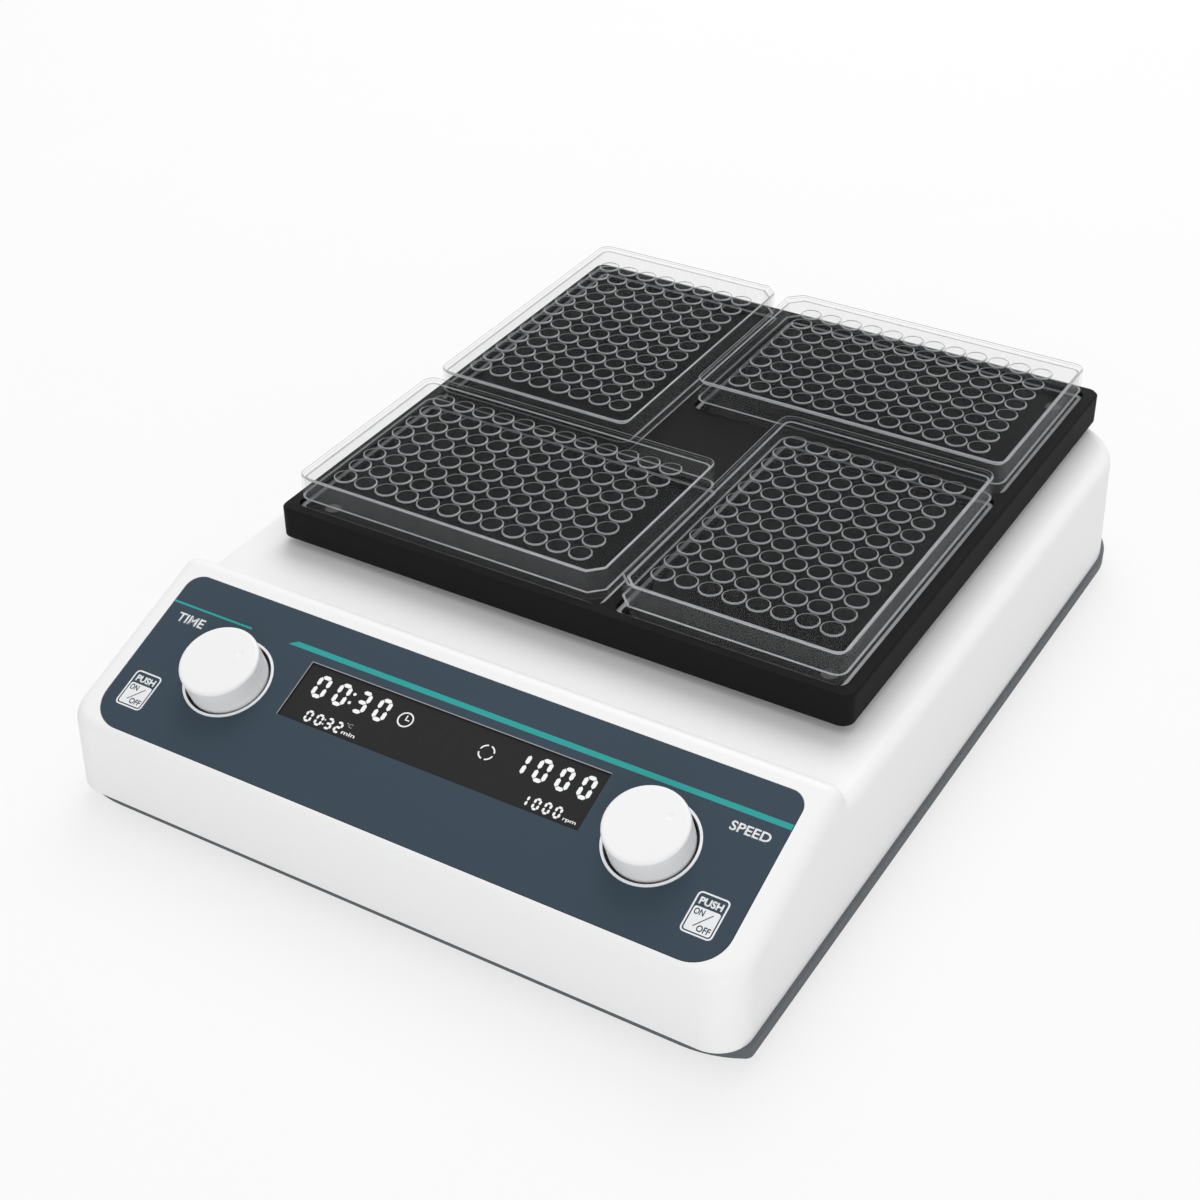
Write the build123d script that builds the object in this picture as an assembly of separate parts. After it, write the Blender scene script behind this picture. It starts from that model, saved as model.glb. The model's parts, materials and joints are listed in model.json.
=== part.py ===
# Orbital shaker for four 96-well microplates.
#
# A low white housing stands on a dark base plate. Its front is a sloped console with two push knobs
# and a display. Behind the console a dark square tray carries four clear microplates with lids.
# A motor in the base turns a crank, and the crank carries the tray round on a small circle, while
# four idler cranks keep the tray from turning.
#
# Millimetres. X to the right, Y to the back, Z up. The origin is at the centre of the footprint,
# on the surface that the feet stand on.

import os

from build123d import *
from math import cos, radians, sin, tan

os.makedirs("parts", exist_ok=True)

# Microplates, to the standard footprint
PLATE_LENGTH = 127.76
PLATE_WIDTH = 85.48
PLATE_HEIGHT = 14.35
PLATE_CORNER_RADIUS = 3.2
PLATE_FLANGE = 2.5             # height of the foot flange
PLATE_STEP = 1.7               # body in from the flange, each side
PLATE_NOTCH = 5.0              # chamfer that marks the first well
PLATE_WALL = 1.2               # skirt and well floors
FIRST_WELL_ACROSS = 14.38      # centre of the first well in from the short side
FIRST_WELL_DOWN = 11.24        # and in from the long side
WELL_PITCH = 9.0
WELL_WIDTH = 6.7
WELL_DEPTH = 10.7

# Lids
LID_SIDE_CLEARANCE = 0.35      # lid skirt outside the plate body
LID_WALL = 0.9
LID_TOP = 1.2
LID_HEIGHT = 9.3
LID_AIR = 0.7                  # under the lid, over the rim
LID_RIM = 1.0

# Tray
PLATE_GAP = 4.9                # between neighbours on the tray
TRAY_RIM = 4.93                # tray outside the plates
TRAY_CORNER_RADIUS = 4.5
TRAY_EDGE = 0.8
TRAY_GAP = 3.6                 # tray above the deck
TRAY_WALL = 3.0
TRAY_SKIN = 2.5                # under each plate
TRAY_SCREW_INSET = 14.0
PLATE_SEAT_DEPTH = 4.15
PLATE_SEAT_CLEARANCE = 0.35
CARRIER_CLEARANCE = 0.3
CARRIER_FLOOR = 1.25           # carrier under its bearings

# Orbital drive
ORBIT_RADIUS = 1.5             # the tray's circle is twice this across
IDLER_INSET = 39.0             # idler cranks in from the tray's edge
SHAFT_RADIUS = 4.0
SHAFT_HOLE_CLEARANCE = 1.0     # round the motor shaft where it passes the drive plate
RUNNING_CLEARANCE = 0.05
FIT_CLEARANCE = 0.02
OPEN_PIVOT_CLEARANCE = 0.1     # idler pins in the carrier bearings
BEARING_RADIUS = 8.0
BEARING_WIDTH = 4.0
BEARING_LIP = 1.5              # ledge that a bearing sits on
BEARING_GROOVE = 0.6
CRANK_COLLAR_RADIUS = 5.3
CRANK_DISC_RADIUS = 11.0
CRANK_DISC_HEIGHT = 5.0
CRANK_SKIN = 1.0               # crank over the end of the motor shaft
CRANK_AXIAL_GAP = 0.3
DECK_HOLE_CLEARANCE = 1.7      # collar to deck hole at the far side of the orbit
COUNTERWEIGHT_RADIUS = 34.0
COUNTERWEIGHT_HEIGHT = 5.0
COUNTERWEIGHT_EDGE = 4.0       # the half disc's straight edge, towards the pin
DRIVE_PLATE_MARGIN = 18.0      # drive plate outside the idler cranks
DRIVE_PLATE_THICKNESS = 6.0
DRIVE_PLATE_BELOW_DECK = 13.0  # top of the drive plate under the inside of the deck
DRIVE_PLATE_CORNER = 8.0
MOTOR_RADIUS = 27.0
MOTOR_HEIGHT = 19.0
MOTOR_ABOVE_FLOOR = 5.0
MOTOR_SCREW_RADIUS = 19.0
MOTOR_EDGE = 2.0
MOTOR_END = 2.0                # closed end of the motor under its shaft
STANDOFF_RADIUS = 5.0
STANDOFF_INSET = 10.0

# Base plate and feet
FOOT_HEIGHT = 5.0              # gap under the base plate
FOOT_RADIUS = 10.0
FOOT_INSET = 30.0
FOOT_POCKET = 0.8              # how far a foot is let into the base plate
FOOT_EDGE = 0.8
BASE_HEIGHT = 4.6              # visible band
BASE_FLOOR = 2.6
BASE_SIDE_LIP = 1.5            # base plate proud of the cover at the sides
BASE_FRONT_SETBACK = 2.3       # base plate behind the cover at the front
BASE_BEND = 21.0               # the front edge bends back over this length at each side
BASE_BEND_BACK = 6.0
BASE_FRONT_RADIUS = 3.0
BASE_INNER_RADIUS = 4.5
BASE_REAR_RADIUS = 32.0
BASE_EDGE = 0.3
BASE_RIM = 5.5

# Housing, the white upper cover
TRAY_TO_SIDE = 15.5            # cover outside the tray, at the cover's lower edge
TRAY_TO_CREST = 33.0
TRAY_TO_REAR = 4.5
CREST_RISE = 10.7              # console crest above the deck
CREST_SETBACK = 72.0           # front wall back to the crest
CONSOLE_SLOPE = 20.14          # degrees
CREST_BACK_SLOPE = 62.0        # degrees, the short face behind the crest
HOUSING_DRAFT = 1.6            # degrees, so that the cover leaves its mould
HOUSING_FRONT_RADIUS = 12.2
HOUSING_REAR_RADIUS = 32.0
HOUSING_EDGE_RADIUS = 5.0
HOUSING_WALL = 3.0
BOSS_RADIUS = 5.0
BOSS_INSET = 16.0              # cover screws in from the side walls
BOARD_BOSS_RADIUS = 4.0
RIB_WIDTH = 2.0
RIB_DEPTH = 5.0
RIB_END = 14.0                 # ribs end this far inside the tray's edge
RIB_TO_IDLERS = 20.0
CUT_PAST = 1.0                 # how far a cut runs past the face that it opens

# Console overlay, display and knobs
PANEL_FROM_SIDE = 9.5
PANEL_FROM_FRONT = 3.9         # up the slope from the console's sharp front edge
PANEL_FROM_CREST = 7.79        # down the slope from its sharp crest
PANEL_TOP_RADIUS = 6.0
PANEL_BOTTOM_RADIUS = 12.0
PANEL_THICKNESS = 0.8
PANEL_CLEARANCE = 0.25
KNOB_INSET = 38.0              # knob axes in from the panel's sides
KNOB_BELOW_CENTRE = 0.5
KNOB_RADIUS = 14.0
KNOB_HEIGHT = 10.5
KNOB_EDGE = 1.2
KNOB_WALL = 2.2
KNOB_SKIRT = 1.2               # knob skirt below the overlay face
KNOB_GAP = 1.1                 # round the knob, to the light ring
KNOB_HUB_RADIUS = 5.5
KNOB_HUB_GAP = 0.3             # hub over the bushing, when pushed in
KNOB_TRAVEL = 0.6              # push travel
KNOB_DIMPLE_AT = (5.9, 5.1)
KNOB_DIMPLE_RADIUS = 1.4
KNOB_DIMPLE_DEPTH = 0.25
RING_WIDTH = 0.9
RING_RISE = 0.3
KNOB_WELL_DEPTH = 3.2
KNOB_WELL_FLOOR = 1.8
CUP_WALL = 0.4                 # dark liner of the knob well
ENCODER_SIZE = 14.0
ENCODER_DEPTH = 6.5
ENCODER_FLOOR = 0.6
ENCODER_SHAFT_RADIUS = 3.0
SHAFT_END_GAP = 0.7            # shaft end under the inside of the knob
BUSHING_RADIUS = 3.6
BUSHING_TOP = 0.4              # under the overlay face
NUT_WIDTH = 10.0
NUT_HEIGHT = 2.0
PLUNGER_RADIUS = 4.5
PLUNGER_HEIGHT = 1.2
DISPLAY_TO_RING = 7.65
DISPLAY_HEIGHT = 22.4
DISPLAY_ABOVE_CENTRE = 5.0
DISPLAY_RIGHT = 0.6            # window to the right of the panel's centre
DISPLAY_SINK = 0.5             # window face under the overlay face
DISPLAY_THICKNESS = 1.5
DISPLAY_LEDGE = 3.0            # housing ledge that carries the window
DISPLAY_AIR = 0.3              # display module behind the window and the ledge
DISPLAY_FRAME = 1.0
BOARD_FROM_SIDE = 13.0         # board inside the panel's outline
BOARD_FROM_EDGE = 13.5
BOARD_THICKNESS = 1.6
BOARD_SCREW_INSET = 4.0
BOARD_CORNER = 2.0
BOARD_BELOW_CENTRE = 2.0

# Rear connections
INLET_FROM_SIDE = 53.5
INLET_TO_SWITCH = 28.0
INLET_FACE = (30.0, 27.0)      # bezel, across and up
INLET_BEZEL = 1.5
INLET_BODY = (27.0, 20.0)
INLET_DEPTH = 22.0
INLET_SOCKET = (24.0, 16.2)
INLET_SOCKET_DEPTH = 16.0
INLET_PIN = (2.0, 4.0, 13.0)
INLET_PIN_SPACING = 7.0
SWITCH_FACE = (15.0, 21.0)
SWITCH_BEZEL = 1.2
SWITCH_BODY = (13.0, 19.0)
SWITCH_DEPTH = 14.0
SWITCH_OPENING = (10.0, 15.6)
ROCKER_ANGLE = 9.0             # degrees each side of level
ROCKER_CLEARANCE = 0.35
ROCKER_PIVOT_RADIUS = 1.2
ROCKER_PIVOT_DEPTH = 5.0       # pivot behind the switch bezel's face
ROCKER_BELLY = 2.4             # rocker behind its pivot
SUPPLY_SIZE = (92.0, 34.0, 20.0)
SUPPLY_BEFORE_TRAY = 14.25     # middle of the supply in front of the tray's front edge
SUPPLY_EDGE = 1.0
SUPPLY_FLANGE = (4.0, 2.0)     # flange at each end, its length and its thickness
CONNECTION_MARGIN = 2.0        # recess round the bezels
CONNECTION_RECESS = 3.0
CONNECTION_WALL = 2.5
CONNECTION_Z = 29.0

# Fasteners
SCREW_RADIUS = 1.5
SCREW_HEAD_RADIUS = 2.9
SCREW_HEAD_HEIGHT = 1.8
SCREW_LENGTH = 8.0
SCREW_CLEARANCE = 0.2
SCREW_HOLE_SPARE = 1.0         # tapped hole past the screw's tip

# Plan sizes that follow: the tray holds the plates, and the housing goes round the tray
WELL_COLUMNS = 1 + round((PLATE_LENGTH - 2 * FIRST_WELL_ACROSS) / WELL_PITCH)
WELL_ROWS = 1 + round((PLATE_WIDTH - 2 * FIRST_WELL_DOWN) / WELL_PITCH)
TRAY_SIZE = PLATE_LENGTH + PLATE_WIDTH + PLATE_GAP + 2 * TRAY_RIM
TRAY_SCREW_SPACING = TRAY_SIZE - 2 * TRAY_SCREW_INSET
IDLER_SPACING = TRAY_SIZE - 2 * IDLER_INSET
DRIVE_PLATE_SIZE = IDLER_SPACING + 2 * DRIVE_PLATE_MARGIN
STANDOFF_SPACING = DRIVE_PLATE_SIZE - 2 * STANDOFF_INSET
RIB_LENGTH = TRAY_SIZE - 2 * RIB_END
RIB_SPACING = IDLER_SPACING - 2 * RIB_TO_IDLERS
HOUSING_WIDTH = TRAY_SIZE + 2 * TRAY_TO_SIDE
HOUSING_DEPTH = CREST_SETBACK + TRAY_TO_CREST + TRAY_SIZE + TRAY_TO_REAR
FRONT_Y = -HOUSING_DEPTH / 2
REAR_Y = HOUSING_DEPTH / 2
CREST_Y = FRONT_Y + CREST_SETBACK
TRAY_Y = REAR_Y - TRAY_TO_REAR - TRAY_SIZE / 2
SUPPLY_Y = TRAY_Y - TRAY_SIZE / 2 - SUPPLY_BEFORE_TRAY
DECK_HOLE_RADIUS = CRANK_COLLAR_RADIUS + ORBIT_RADIUS + DECK_HOLE_CLEARANCE

# Heights that follow: the cover is as high as the drive under its deck needs
BASE_TOP = FOOT_HEIGHT + BASE_HEIGHT
FLOOR_TOP = FOOT_HEIGHT + BASE_FLOOR
MOTOR_BOTTOM = FLOOR_TOP + MOTOR_ABOVE_FLOOR
DRIVE_PLATE_BOTTOM = MOTOR_BOTTOM + MOTOR_HEIGHT
DRIVE_PLATE_TOP = DRIVE_PLATE_BOTTOM + DRIVE_PLATE_THICKNESS
DECK_INSIDE = DRIVE_PLATE_TOP + DRIVE_PLATE_BELOW_DECK
DECK_Z = DECK_INSIDE + HOUSING_WALL
CREST_Z = DECK_Z + CREST_RISE
FRONT_EDGE_Z = CREST_Z - CREST_SETBACK * tan(radians(CONSOLE_SLOPE))
TRAY_BOTTOM = DECK_Z + TRAY_GAP
CARRIER_TOP = TRAY_BOTTOM + CARRIER_FLOOR + BEARING_WIDTH
SEAT_Z = CARRIER_TOP + TRAY_SKIN
TRAY_TOP = SEAT_Z + PLATE_SEAT_DEPTH
CRANK_BOTTOM = DRIVE_PLATE_TOP + CRANK_AXIAL_GAP
CRANK_TOP = CRANK_BOTTOM + CRANK_DISC_HEIGHT
SCREW_HOLE_BOTTOM = DRIVE_PLATE_TOP - SCREW_LENGTH - SCREW_HOLE_SPARE
BASE_SCREW_TOP = FOOT_HEIGHT + SCREW_HEAD_HEIGHT + SCREW_LENGTH + SCREW_HOLE_SPARE

# Console sizes that follow, with heights measured out from the overlay's face
PANEL_WIDTH = HOUSING_WIDTH - 2 * PANEL_FROM_SIDE
PANEL_HEIGHT = CREST_SETBACK / cos(radians(CONSOLE_SLOPE)) - PANEL_FROM_FRONT - PANEL_FROM_CREST
PANEL_CENTRE_UP = PANEL_FROM_FRONT + PANEL_HEIGHT / 2
KNOB_SPACING = PANEL_WIDTH - 2 * KNOB_INSET
KNOB_HOLE_RADIUS = KNOB_RADIUS + KNOB_GAP
RING_OUTER_RADIUS = KNOB_HOLE_RADIUS + RING_WIDTH
DISPLAY_WIDTH = KNOB_SPACING - 2 * RING_OUTER_RADIUS - 2 * DISPLAY_TO_RING
BOARD_WIDTH = PANEL_WIDTH - 2 * BOARD_FROM_SIDE
BOARD_HEIGHT = PANEL_HEIGHT - 2 * BOARD_FROM_EDGE
WINDOW_BACK = -DISPLAY_SINK - DISPLAY_THICKNESS
WELL_BACK = -KNOB_WELL_DEPTH - KNOB_WELL_FLOOR
BOARD_FACE = WELL_BACK - ENCODER_DEPTH
BOARD_BACK = BOARD_FACE - BOARD_THICKNESS
PLUNGER_FLOOR = BOARD_FACE + ENCODER_FLOOR
PLUNGER_TOP = PLUNGER_FLOOR + KNOB_TRAVEL + PLUNGER_HEIGHT
SHAFT_TOP = KNOB_HEIGHT - KNOB_WALL - SHAFT_END_GAP

# Rear places that follow
INLET_X = INLET_FROM_SIDE - HOUSING_WIDTH / 2
SWITCH_X = INLET_X + INLET_TO_SWITCH
RECESS_LEFT = INLET_X - INLET_FACE[0] / 2 - CONNECTION_MARGIN
RECESS_RIGHT = SWITCH_X + SWITCH_FACE[0] / 2 + CONNECTION_MARGIN
RECESS_HEIGHT = INLET_FACE[1] + 2 * CONNECTION_MARGIN
RECESS_Y = REAR_Y - CONNECTION_RECESS
ROCKER_PIVOT_Y = RECESS_Y + SWITCH_BEZEL - ROCKER_PIVOT_DEPTH


def spread(centre, places):
    """A pattern of places, carried to a centre."""
    return [centre * place for place in places]


def on_panel(height_from, height_to, sketch):
    """Raise a flat sketch between two heights over the console face."""
    return PANEL * extrude(Pos(0, 0, height_from) * sketch, height_to - height_from)


def block(size_x, size_y, z_from, z_to):
    """An upright box centred on Z, between two heights."""
    return Pos(0, 0, (z_from + z_to) / 2) * Box(size_x, size_y, z_to - z_from)


def rod(radius, z_from, z_to):
    """An upright cylinder on Z, between two heights."""
    return Pos(0, 0, (z_from + z_to) / 2) * Cylinder(radius, z_to - z_from)


def plan(width, front, rear, front_radius, rear_radius):
    """A footprint with one radius on its front corners and another on its rear corners."""
    outline = Pos(0, (front + rear) / 2) * Rectangle(width, rear - front)
    outline = fillet(outline.vertices().group_by(Axis.Y)[0], front_radius)
    return fillet(outline.vertices().group_by(Axis.Y)[-1], rear_radius)


def screw(head_top, length=SCREW_LENGTH, up=False):
    """A pan head screw on Z. Its head's outer face is at head_top, and it points down, or up."""
    turn = -1 if up else 1
    under_head = head_top - turn * SCREW_HEAD_HEIGHT
    tip = under_head - turn * length
    head = rod(SCREW_HEAD_RADIUS, min(head_top, under_head), max(head_top, under_head))
    return head + rod(SCREW_RADIUS, min(tip, under_head), max(tip, under_head))


def repeat(places, shape):
    """Copies of a shape at several places, as separate solids in one part."""
    return Compound(children=[solid for place in places for solid in (place * shape).solids()])


# Places. At rest the crank pins point to the back, so the drive's axes lie in front of the tray's
TRAY_CENTRE = Location((0, TRAY_Y, 0))
DRIVE_CENTRE = Location((0, TRAY_Y - ORBIT_RADIUS, 0))
IDLER_GRID = GridLocations(IDLER_SPACING, IDLER_SPACING, 2, 2)
IDLER_PLACES = spread(DRIVE_CENTRE, IDLER_GRID)
UPPER_PLACES = spread(TRAY_CENTRE, IDLER_GRID)
TRAY_SCREWS = spread(TRAY_CENTRE, GridLocations(TRAY_SCREW_SPACING, TRAY_SCREW_SPACING, 2, 2))
MOTOR_SCREWS = spread(DRIVE_CENTRE, PolarLocations(MOTOR_SCREW_RADIUS, 4, 45))
STANDOFF_PLACES = spread(DRIVE_CENTRE, GridLocations(STANDOFF_SPACING, STANDOFF_SPACING, 2, 2))
FOOT_PLACES = GridLocations(HOUSING_WIDTH - 2 * FOOT_INSET, HOUSING_DEPTH - 2 * FOOT_INSET, 2, 2)
COVER_SCREWS = [
    Location((side * (HOUSING_WIDTH / 2 - BOSS_INSET), y, 0))
    for side in (-1, 1)
    for y in (FRONT_Y + BOSS_INSET, REAR_Y - HOUSING_REAR_RADIUS)
]
PLATE_PLACES = [
    Rot(0, 0, 90 * turn) * Pos(-(PLATE_WIDTH + PLATE_GAP) / 2, -(PLATE_LENGTH + PLATE_GAP) / 2)
    for turn in range(4)
]

# The console plane, with its origin at the centre of the panel and its normal out of the console
PANEL = Plane(
    origin=(
        0,
        FRONT_Y + PANEL_CENTRE_UP * cos(radians(CONSOLE_SLOPE)),
        FRONT_EDGE_Z + PANEL_CENTRE_UP * sin(radians(CONSOLE_SLOPE)),
    ),
    x_dir=(1, 0, 0),
    z_dir=(0, -sin(radians(CONSOLE_SLOPE)), cos(radians(CONSOLE_SLOPE))),
).location
KNOB_AT = {
    "time": Pos(-KNOB_SPACING / 2, -KNOB_BELOW_CENTRE),
    "speed": Pos(KNOB_SPACING / 2, -KNOB_BELOW_CENTRE),
}
KNOB_PLACES = spread(PANEL, KNOB_AT.values())
BOARD_SCREWS = spread(Pos(0, -BOARD_BELOW_CENTRE), GridLocations(
    BOARD_WIDTH - 2 * BOARD_SCREW_INSET, BOARD_HEIGHT - 2 * BOARD_SCREW_INSET, 2, 2))


# Base plate, feet and the screws from below

def base_outline():
    """The base plate's footprint. Its front edge bends back before it meets the tight front corners."""
    half = HOUSING_WIDTH / 2 + BASE_SIDE_LIP
    front = FRONT_Y + BASE_FRONT_SETBACK
    bend_at = half - BASE_BEND
    corner_y = front + BASE_BEND_BACK
    bend = TangentArc((bend_at, front), (half, corner_y), tangent=(1, 0))
    sides = Polyline((half, corner_y), (half, REAR_Y), (-half, REAR_Y), (-half, corner_y))
    outline = make_face(Line((-bend_at, front), (bend_at, front)) + bend + sides + mirror(bend, Plane.YZ))
    outline = fillet(outline.vertices().group_by(Axis.Y)[-1], BASE_REAR_RADIUS)
    return fillet(outline.vertices().group_by(Axis.Y)[1], BASE_FRONT_RADIUS)


def base_plate():
    """A dark pan under the machine. The cover's side walls stand on its rim."""
    pan = extrude(Pos(0, 0, FOOT_HEIGHT) * base_outline(), BASE_HEIGHT)
    pan = chamfer(pan.faces().sort_by(Axis.Z)[0].edges(), BASE_EDGE)
    inside = plan(HOUSING_WIDTH + 2 * BASE_SIDE_LIP - 2 * BASE_RIM, FRONT_Y + BASE_FRONT_SETBACK + BASE_RIM,
                  REAR_Y - BASE_RIM, BASE_INNER_RADIUS, BASE_REAR_RADIUS - BASE_RIM)
    pan -= extrude(Pos(0, 0, FLOOR_TOP) * inside, BASE_HEIGHT)
    head_room = rod(SCREW_HEAD_RADIUS + SCREW_CLEARANCE, 0, FOOT_HEIGHT + SCREW_HEAD_HEIGHT)
    hole = rod(SCREW_RADIUS + SCREW_CLEARANCE, 0, BASE_TOP)
    for place in [*COVER_SCREWS, *STANDOFF_PLACES]:
        pan -= place * (head_room + hole)
    for place in FOOT_PLACES:
        pan -= place * rod(FOOT_RADIUS + FIT_CLEARANCE, 0, FOOT_HEIGHT + FOOT_POCKET)
    return pan


def feet():
    """Four round rubber feet, let into shallow pockets."""
    foot = rod(FOOT_RADIUS, 0, FOOT_HEIGHT + FOOT_POCKET)
    return repeat(FOOT_PLACES, chamfer(foot.edges().sort_by(Axis.Z)[0], FOOT_EDGE))


def base_screws():
    """Screws from below into the cover's bosses and into the standoffs."""
    return repeat([*COVER_SCREWS, *STANDOFF_PLACES], screw(FOOT_HEIGHT, up=True))


# Housing

def cover_form(inset):
    """The cover's outer form, or its hollow when inset by the wall."""
    footprint = plan(HOUSING_WIDTH - 2 * inset, FRONT_Y + inset, REAR_Y - inset,
                     HOUSING_FRONT_RADIUS - inset, HOUSING_REAR_RADIUS - inset)
    body = extrude(Pos(0, 0, BASE_TOP) * footprint, CREST_Z, taper=HOUSING_DRAFT)
    margin = HOUSING_DEPTH / 4
    foot_y = CREST_Y + CREST_RISE / tan(radians(CREST_BACK_SLOPE))
    side = Polygon(
        (FRONT_Y - margin, FRONT_EDGE_Z - margin * tan(radians(CONSOLE_SLOPE))),
        (CREST_Y, CREST_Z),
        (foot_y, DECK_Z),
        (REAR_Y + margin, DECK_Z),
        (REAR_Y + margin, -margin),
        (FRONT_Y - margin, -margin),
        align=None,
    )
    if inset:
        side = offset(side, -inset, kind=Kind.INTERSECTION)
    slab = extrude(Plane.YZ * side, HOUSING_WIDTH, both=True)
    return body & slab


def soften(form):
    """Round the edges of the console, the crest and the deck."""
    tops = [face for face in form.faces() if face.normal_at().Z > sin(radians(CONSOLE_SLOPE))]
    edges = ShapeList(edge for face in tops for edge in face.edges())
    return fillet(edges, HOUSING_EDGE_RADIUS)


def housing():
    """The white cover: one moulded shell with bosses, ribs, console openings and deck holes."""
    outer = soften(cover_form(0))
    shell = outer - cover_form(HOUSING_WALL)
    for place in COVER_SCREWS:
        shell += (place * rod(BOSS_RADIUS, BASE_TOP, CREST_Z)) & outer
        shell += place * rod(BOSS_RADIUS, FLOOR_TOP, BASE_TOP + RIB_WIDTH)
    rib = block(RIB_WIDTH, RIB_LENGTH, DECK_INSIDE - RIB_DEPTH, DECK_INSIDE + RIB_WIDTH / 2)
    for side in (-1, 1):
        shell += TRAY_CENTRE * Pos(side * RIB_SPACING / 2) * rib
    shell += on_panel(WELL_BACK, -HOUSING_WALL / 2, knob_circles(RING_OUTER_RADIUS + RIB_WIDTH))
    for place in BOARD_SCREWS:
        shell += on_panel(BOARD_FACE, -HOUSING_WALL / 2, place * Circle(BOARD_BOSS_RADIUS))
    shell += connection_pad()
    shell -= console_cuts()
    shell -= connection_cuts()
    for place in (DRIVE_CENTRE, *IDLER_PLACES):
        shell -= place * rod(DECK_HOLE_RADIUS, DECK_INSIDE - RIB_DEPTH, DECK_Z + CUT_PAST)
    for place in COVER_SCREWS:
        shell -= place * rod(SCREW_RADIUS + FIT_CLEARANCE, 0, BASE_SCREW_TOP)
    return shell


def knob_circles(radius):
    """A circle at each knob, on the console plane."""
    return Sketch() + [place * Circle(radius) for place in KNOB_AT.values()]


def console_cuts():
    """The panel's recess, the display window's pocket, the knob wells and the board screws' pilots."""
    cuts = on_panel(-PANEL_THICKNESS, HOUSING_EDGE_RADIUS, panel_outline(PANEL_CLEARANCE))
    cuts += on_panel(WINDOW_BACK, 0, display_outline(PANEL_CLEARANCE))
    cuts += on_panel(-HOUSING_WALL - CUT_PAST, 0, display_outline(-DISPLAY_LEDGE))
    cuts += on_panel(-KNOB_WELL_DEPTH, 0, knob_circles(KNOB_HOLE_RADIUS))
    cuts += on_panel(WELL_BACK, 0, knob_circles(BUSHING_RADIUS + SCREW_CLEARANCE))
    for place in BOARD_SCREWS:
        pilot = place * Circle(SCREW_RADIUS + FIT_CLEARANCE)
        cuts += on_panel(BOARD_FACE, BOARD_FACE + SCREW_LENGTH, pilot)
    return cuts


def connection_pad():
    """Thicker wall inside the back, where the inlet and the switch sit."""
    front = RECESS_Y - CONNECTION_WALL
    rear = REAR_Y - HOUSING_WALL / 2
    pad = Box(RECESS_RIGHT - RECESS_LEFT + 2 * RIB_WIDTH, rear - front, RECESS_HEIGHT + 2 * RIB_WIDTH)
    outside = Pos(0, REAR_Y) * Box(HOUSING_WIDTH, HOUSING_WALL, HOUSING_DEPTH)
    return Pos((RECESS_LEFT + RECESS_RIGHT) / 2, (front + rear) / 2, CONNECTION_Z) * pad - outside


def connection_cuts():
    """The recess in the back, with the openings for the inlet and the switch."""
    recess = Box(RECESS_RIGHT - RECESS_LEFT, 2 * CONNECTION_RECESS, RECESS_HEIGHT)
    cuts = Pos((RECESS_LEFT + RECESS_RIGHT) / 2, REAR_Y, CONNECTION_Z) * recess
    depth = 4 * CONNECTION_RECESS + 2 * CONNECTION_WALL
    for centre, (width, height) in ((INLET_X, INLET_BODY), (SWITCH_X, SWITCH_BODY)):
        opening = Box(width + 2 * SCREW_CLEARANCE, depth, height + 2 * SCREW_CLEARANCE)
        cuts += Pos(centre, REAR_Y, CONNECTION_Z) * opening
    return cuts


# Console parts

def panel_outline(grow=0.0):
    """The panel's outline, with tighter corners at the top than at the bottom."""
    half = PANEL_HEIGHT / 2 + grow
    return plan(PANEL_WIDTH + 2 * grow, -half, half, PANEL_BOTTOM_RADIUS + grow, PANEL_TOP_RADIUS + grow)


def display_outline(grow=0.0):
    """The display window's outline."""
    window = Rectangle(DISPLAY_WIDTH + 2 * grow, DISPLAY_HEIGHT + 2 * grow)
    return Pos(DISPLAY_RIGHT, DISPLAY_ABOVE_CENTRE) * window


def panel_overlay():
    """The slate printed overlay, let into the console flush with its face."""
    sheet = panel_outline() - display_outline() - knob_circles(RING_OUTER_RADIUS + FIT_CLEARANCE)
    return on_panel(-PANEL_THICKNESS, 0, sheet)


def display_window():
    """The dark window over the display."""
    return on_panel(WINDOW_BACK, -DISPLAY_SINK, display_outline(-FIT_CLEARANCE))


def display_module():
    """The display behind the window: a frame on the control board, and the lit block on the frame."""
    frame_top = -HOUSING_WALL - DISPLAY_AIR - DISPLAY_FRAME
    frame = on_panel(BOARD_FACE, frame_top, display_outline(DISPLAY_FRAME - DISPLAY_LEDGE))
    return frame + on_panel(frame_top, WINDOW_BACK - DISPLAY_AIR, display_outline(-DISPLAY_FRAME - DISPLAY_LEDGE))


def control_board():
    """The board that carries the display and both encoders."""
    outline = Pos(0, -BOARD_BELOW_CENTRE) * RectangleRounded(BOARD_WIDTH, BOARD_HEIGHT, BOARD_CORNER)
    for place in BOARD_SCREWS:
        outline -= place * Circle(SCREW_RADIUS + SCREW_CLEARANCE)
    return on_panel(BOARD_BACK, BOARD_FACE, outline)


def board_screws():
    """Screws from behind that hold the board on the cover's bosses."""
    return repeat(spread(PANEL, BOARD_SCREWS), screw(BOARD_BACK - SCREW_HEAD_HEIGHT, up=True))


def encoder():
    """The fixed part of a push encoder: a case on the board and a threaded bushing."""
    case = block(ENCODER_SIZE, ENCODER_SIZE, BOARD_FACE, WELL_BACK)
    case += rod(BUSHING_RADIUS, WELL_BACK, -BUSHING_TOP)
    case -= rod(ENCODER_SHAFT_RADIUS + RUNNING_CLEARANCE, PLUNGER_FLOOR, 0)
    return case - rod(PLUNGER_RADIUS + RUNNING_CLEARANCE, PLUNGER_FLOOR, PLUNGER_TOP + FIT_CLEARANCE)


def encoder_nuts():
    """Nuts that hold the bushings in the knob wells."""
    nut = RegularPolygon(NUT_WIDTH / 2, 6, major_radius=False) - Circle(BUSHING_RADIUS + FIT_CLEARANCE)
    return repeat(KNOB_PLACES, Pos(0, 0, -KNOB_WELL_DEPTH) * extrude(nut, NUT_HEIGHT))


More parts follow.
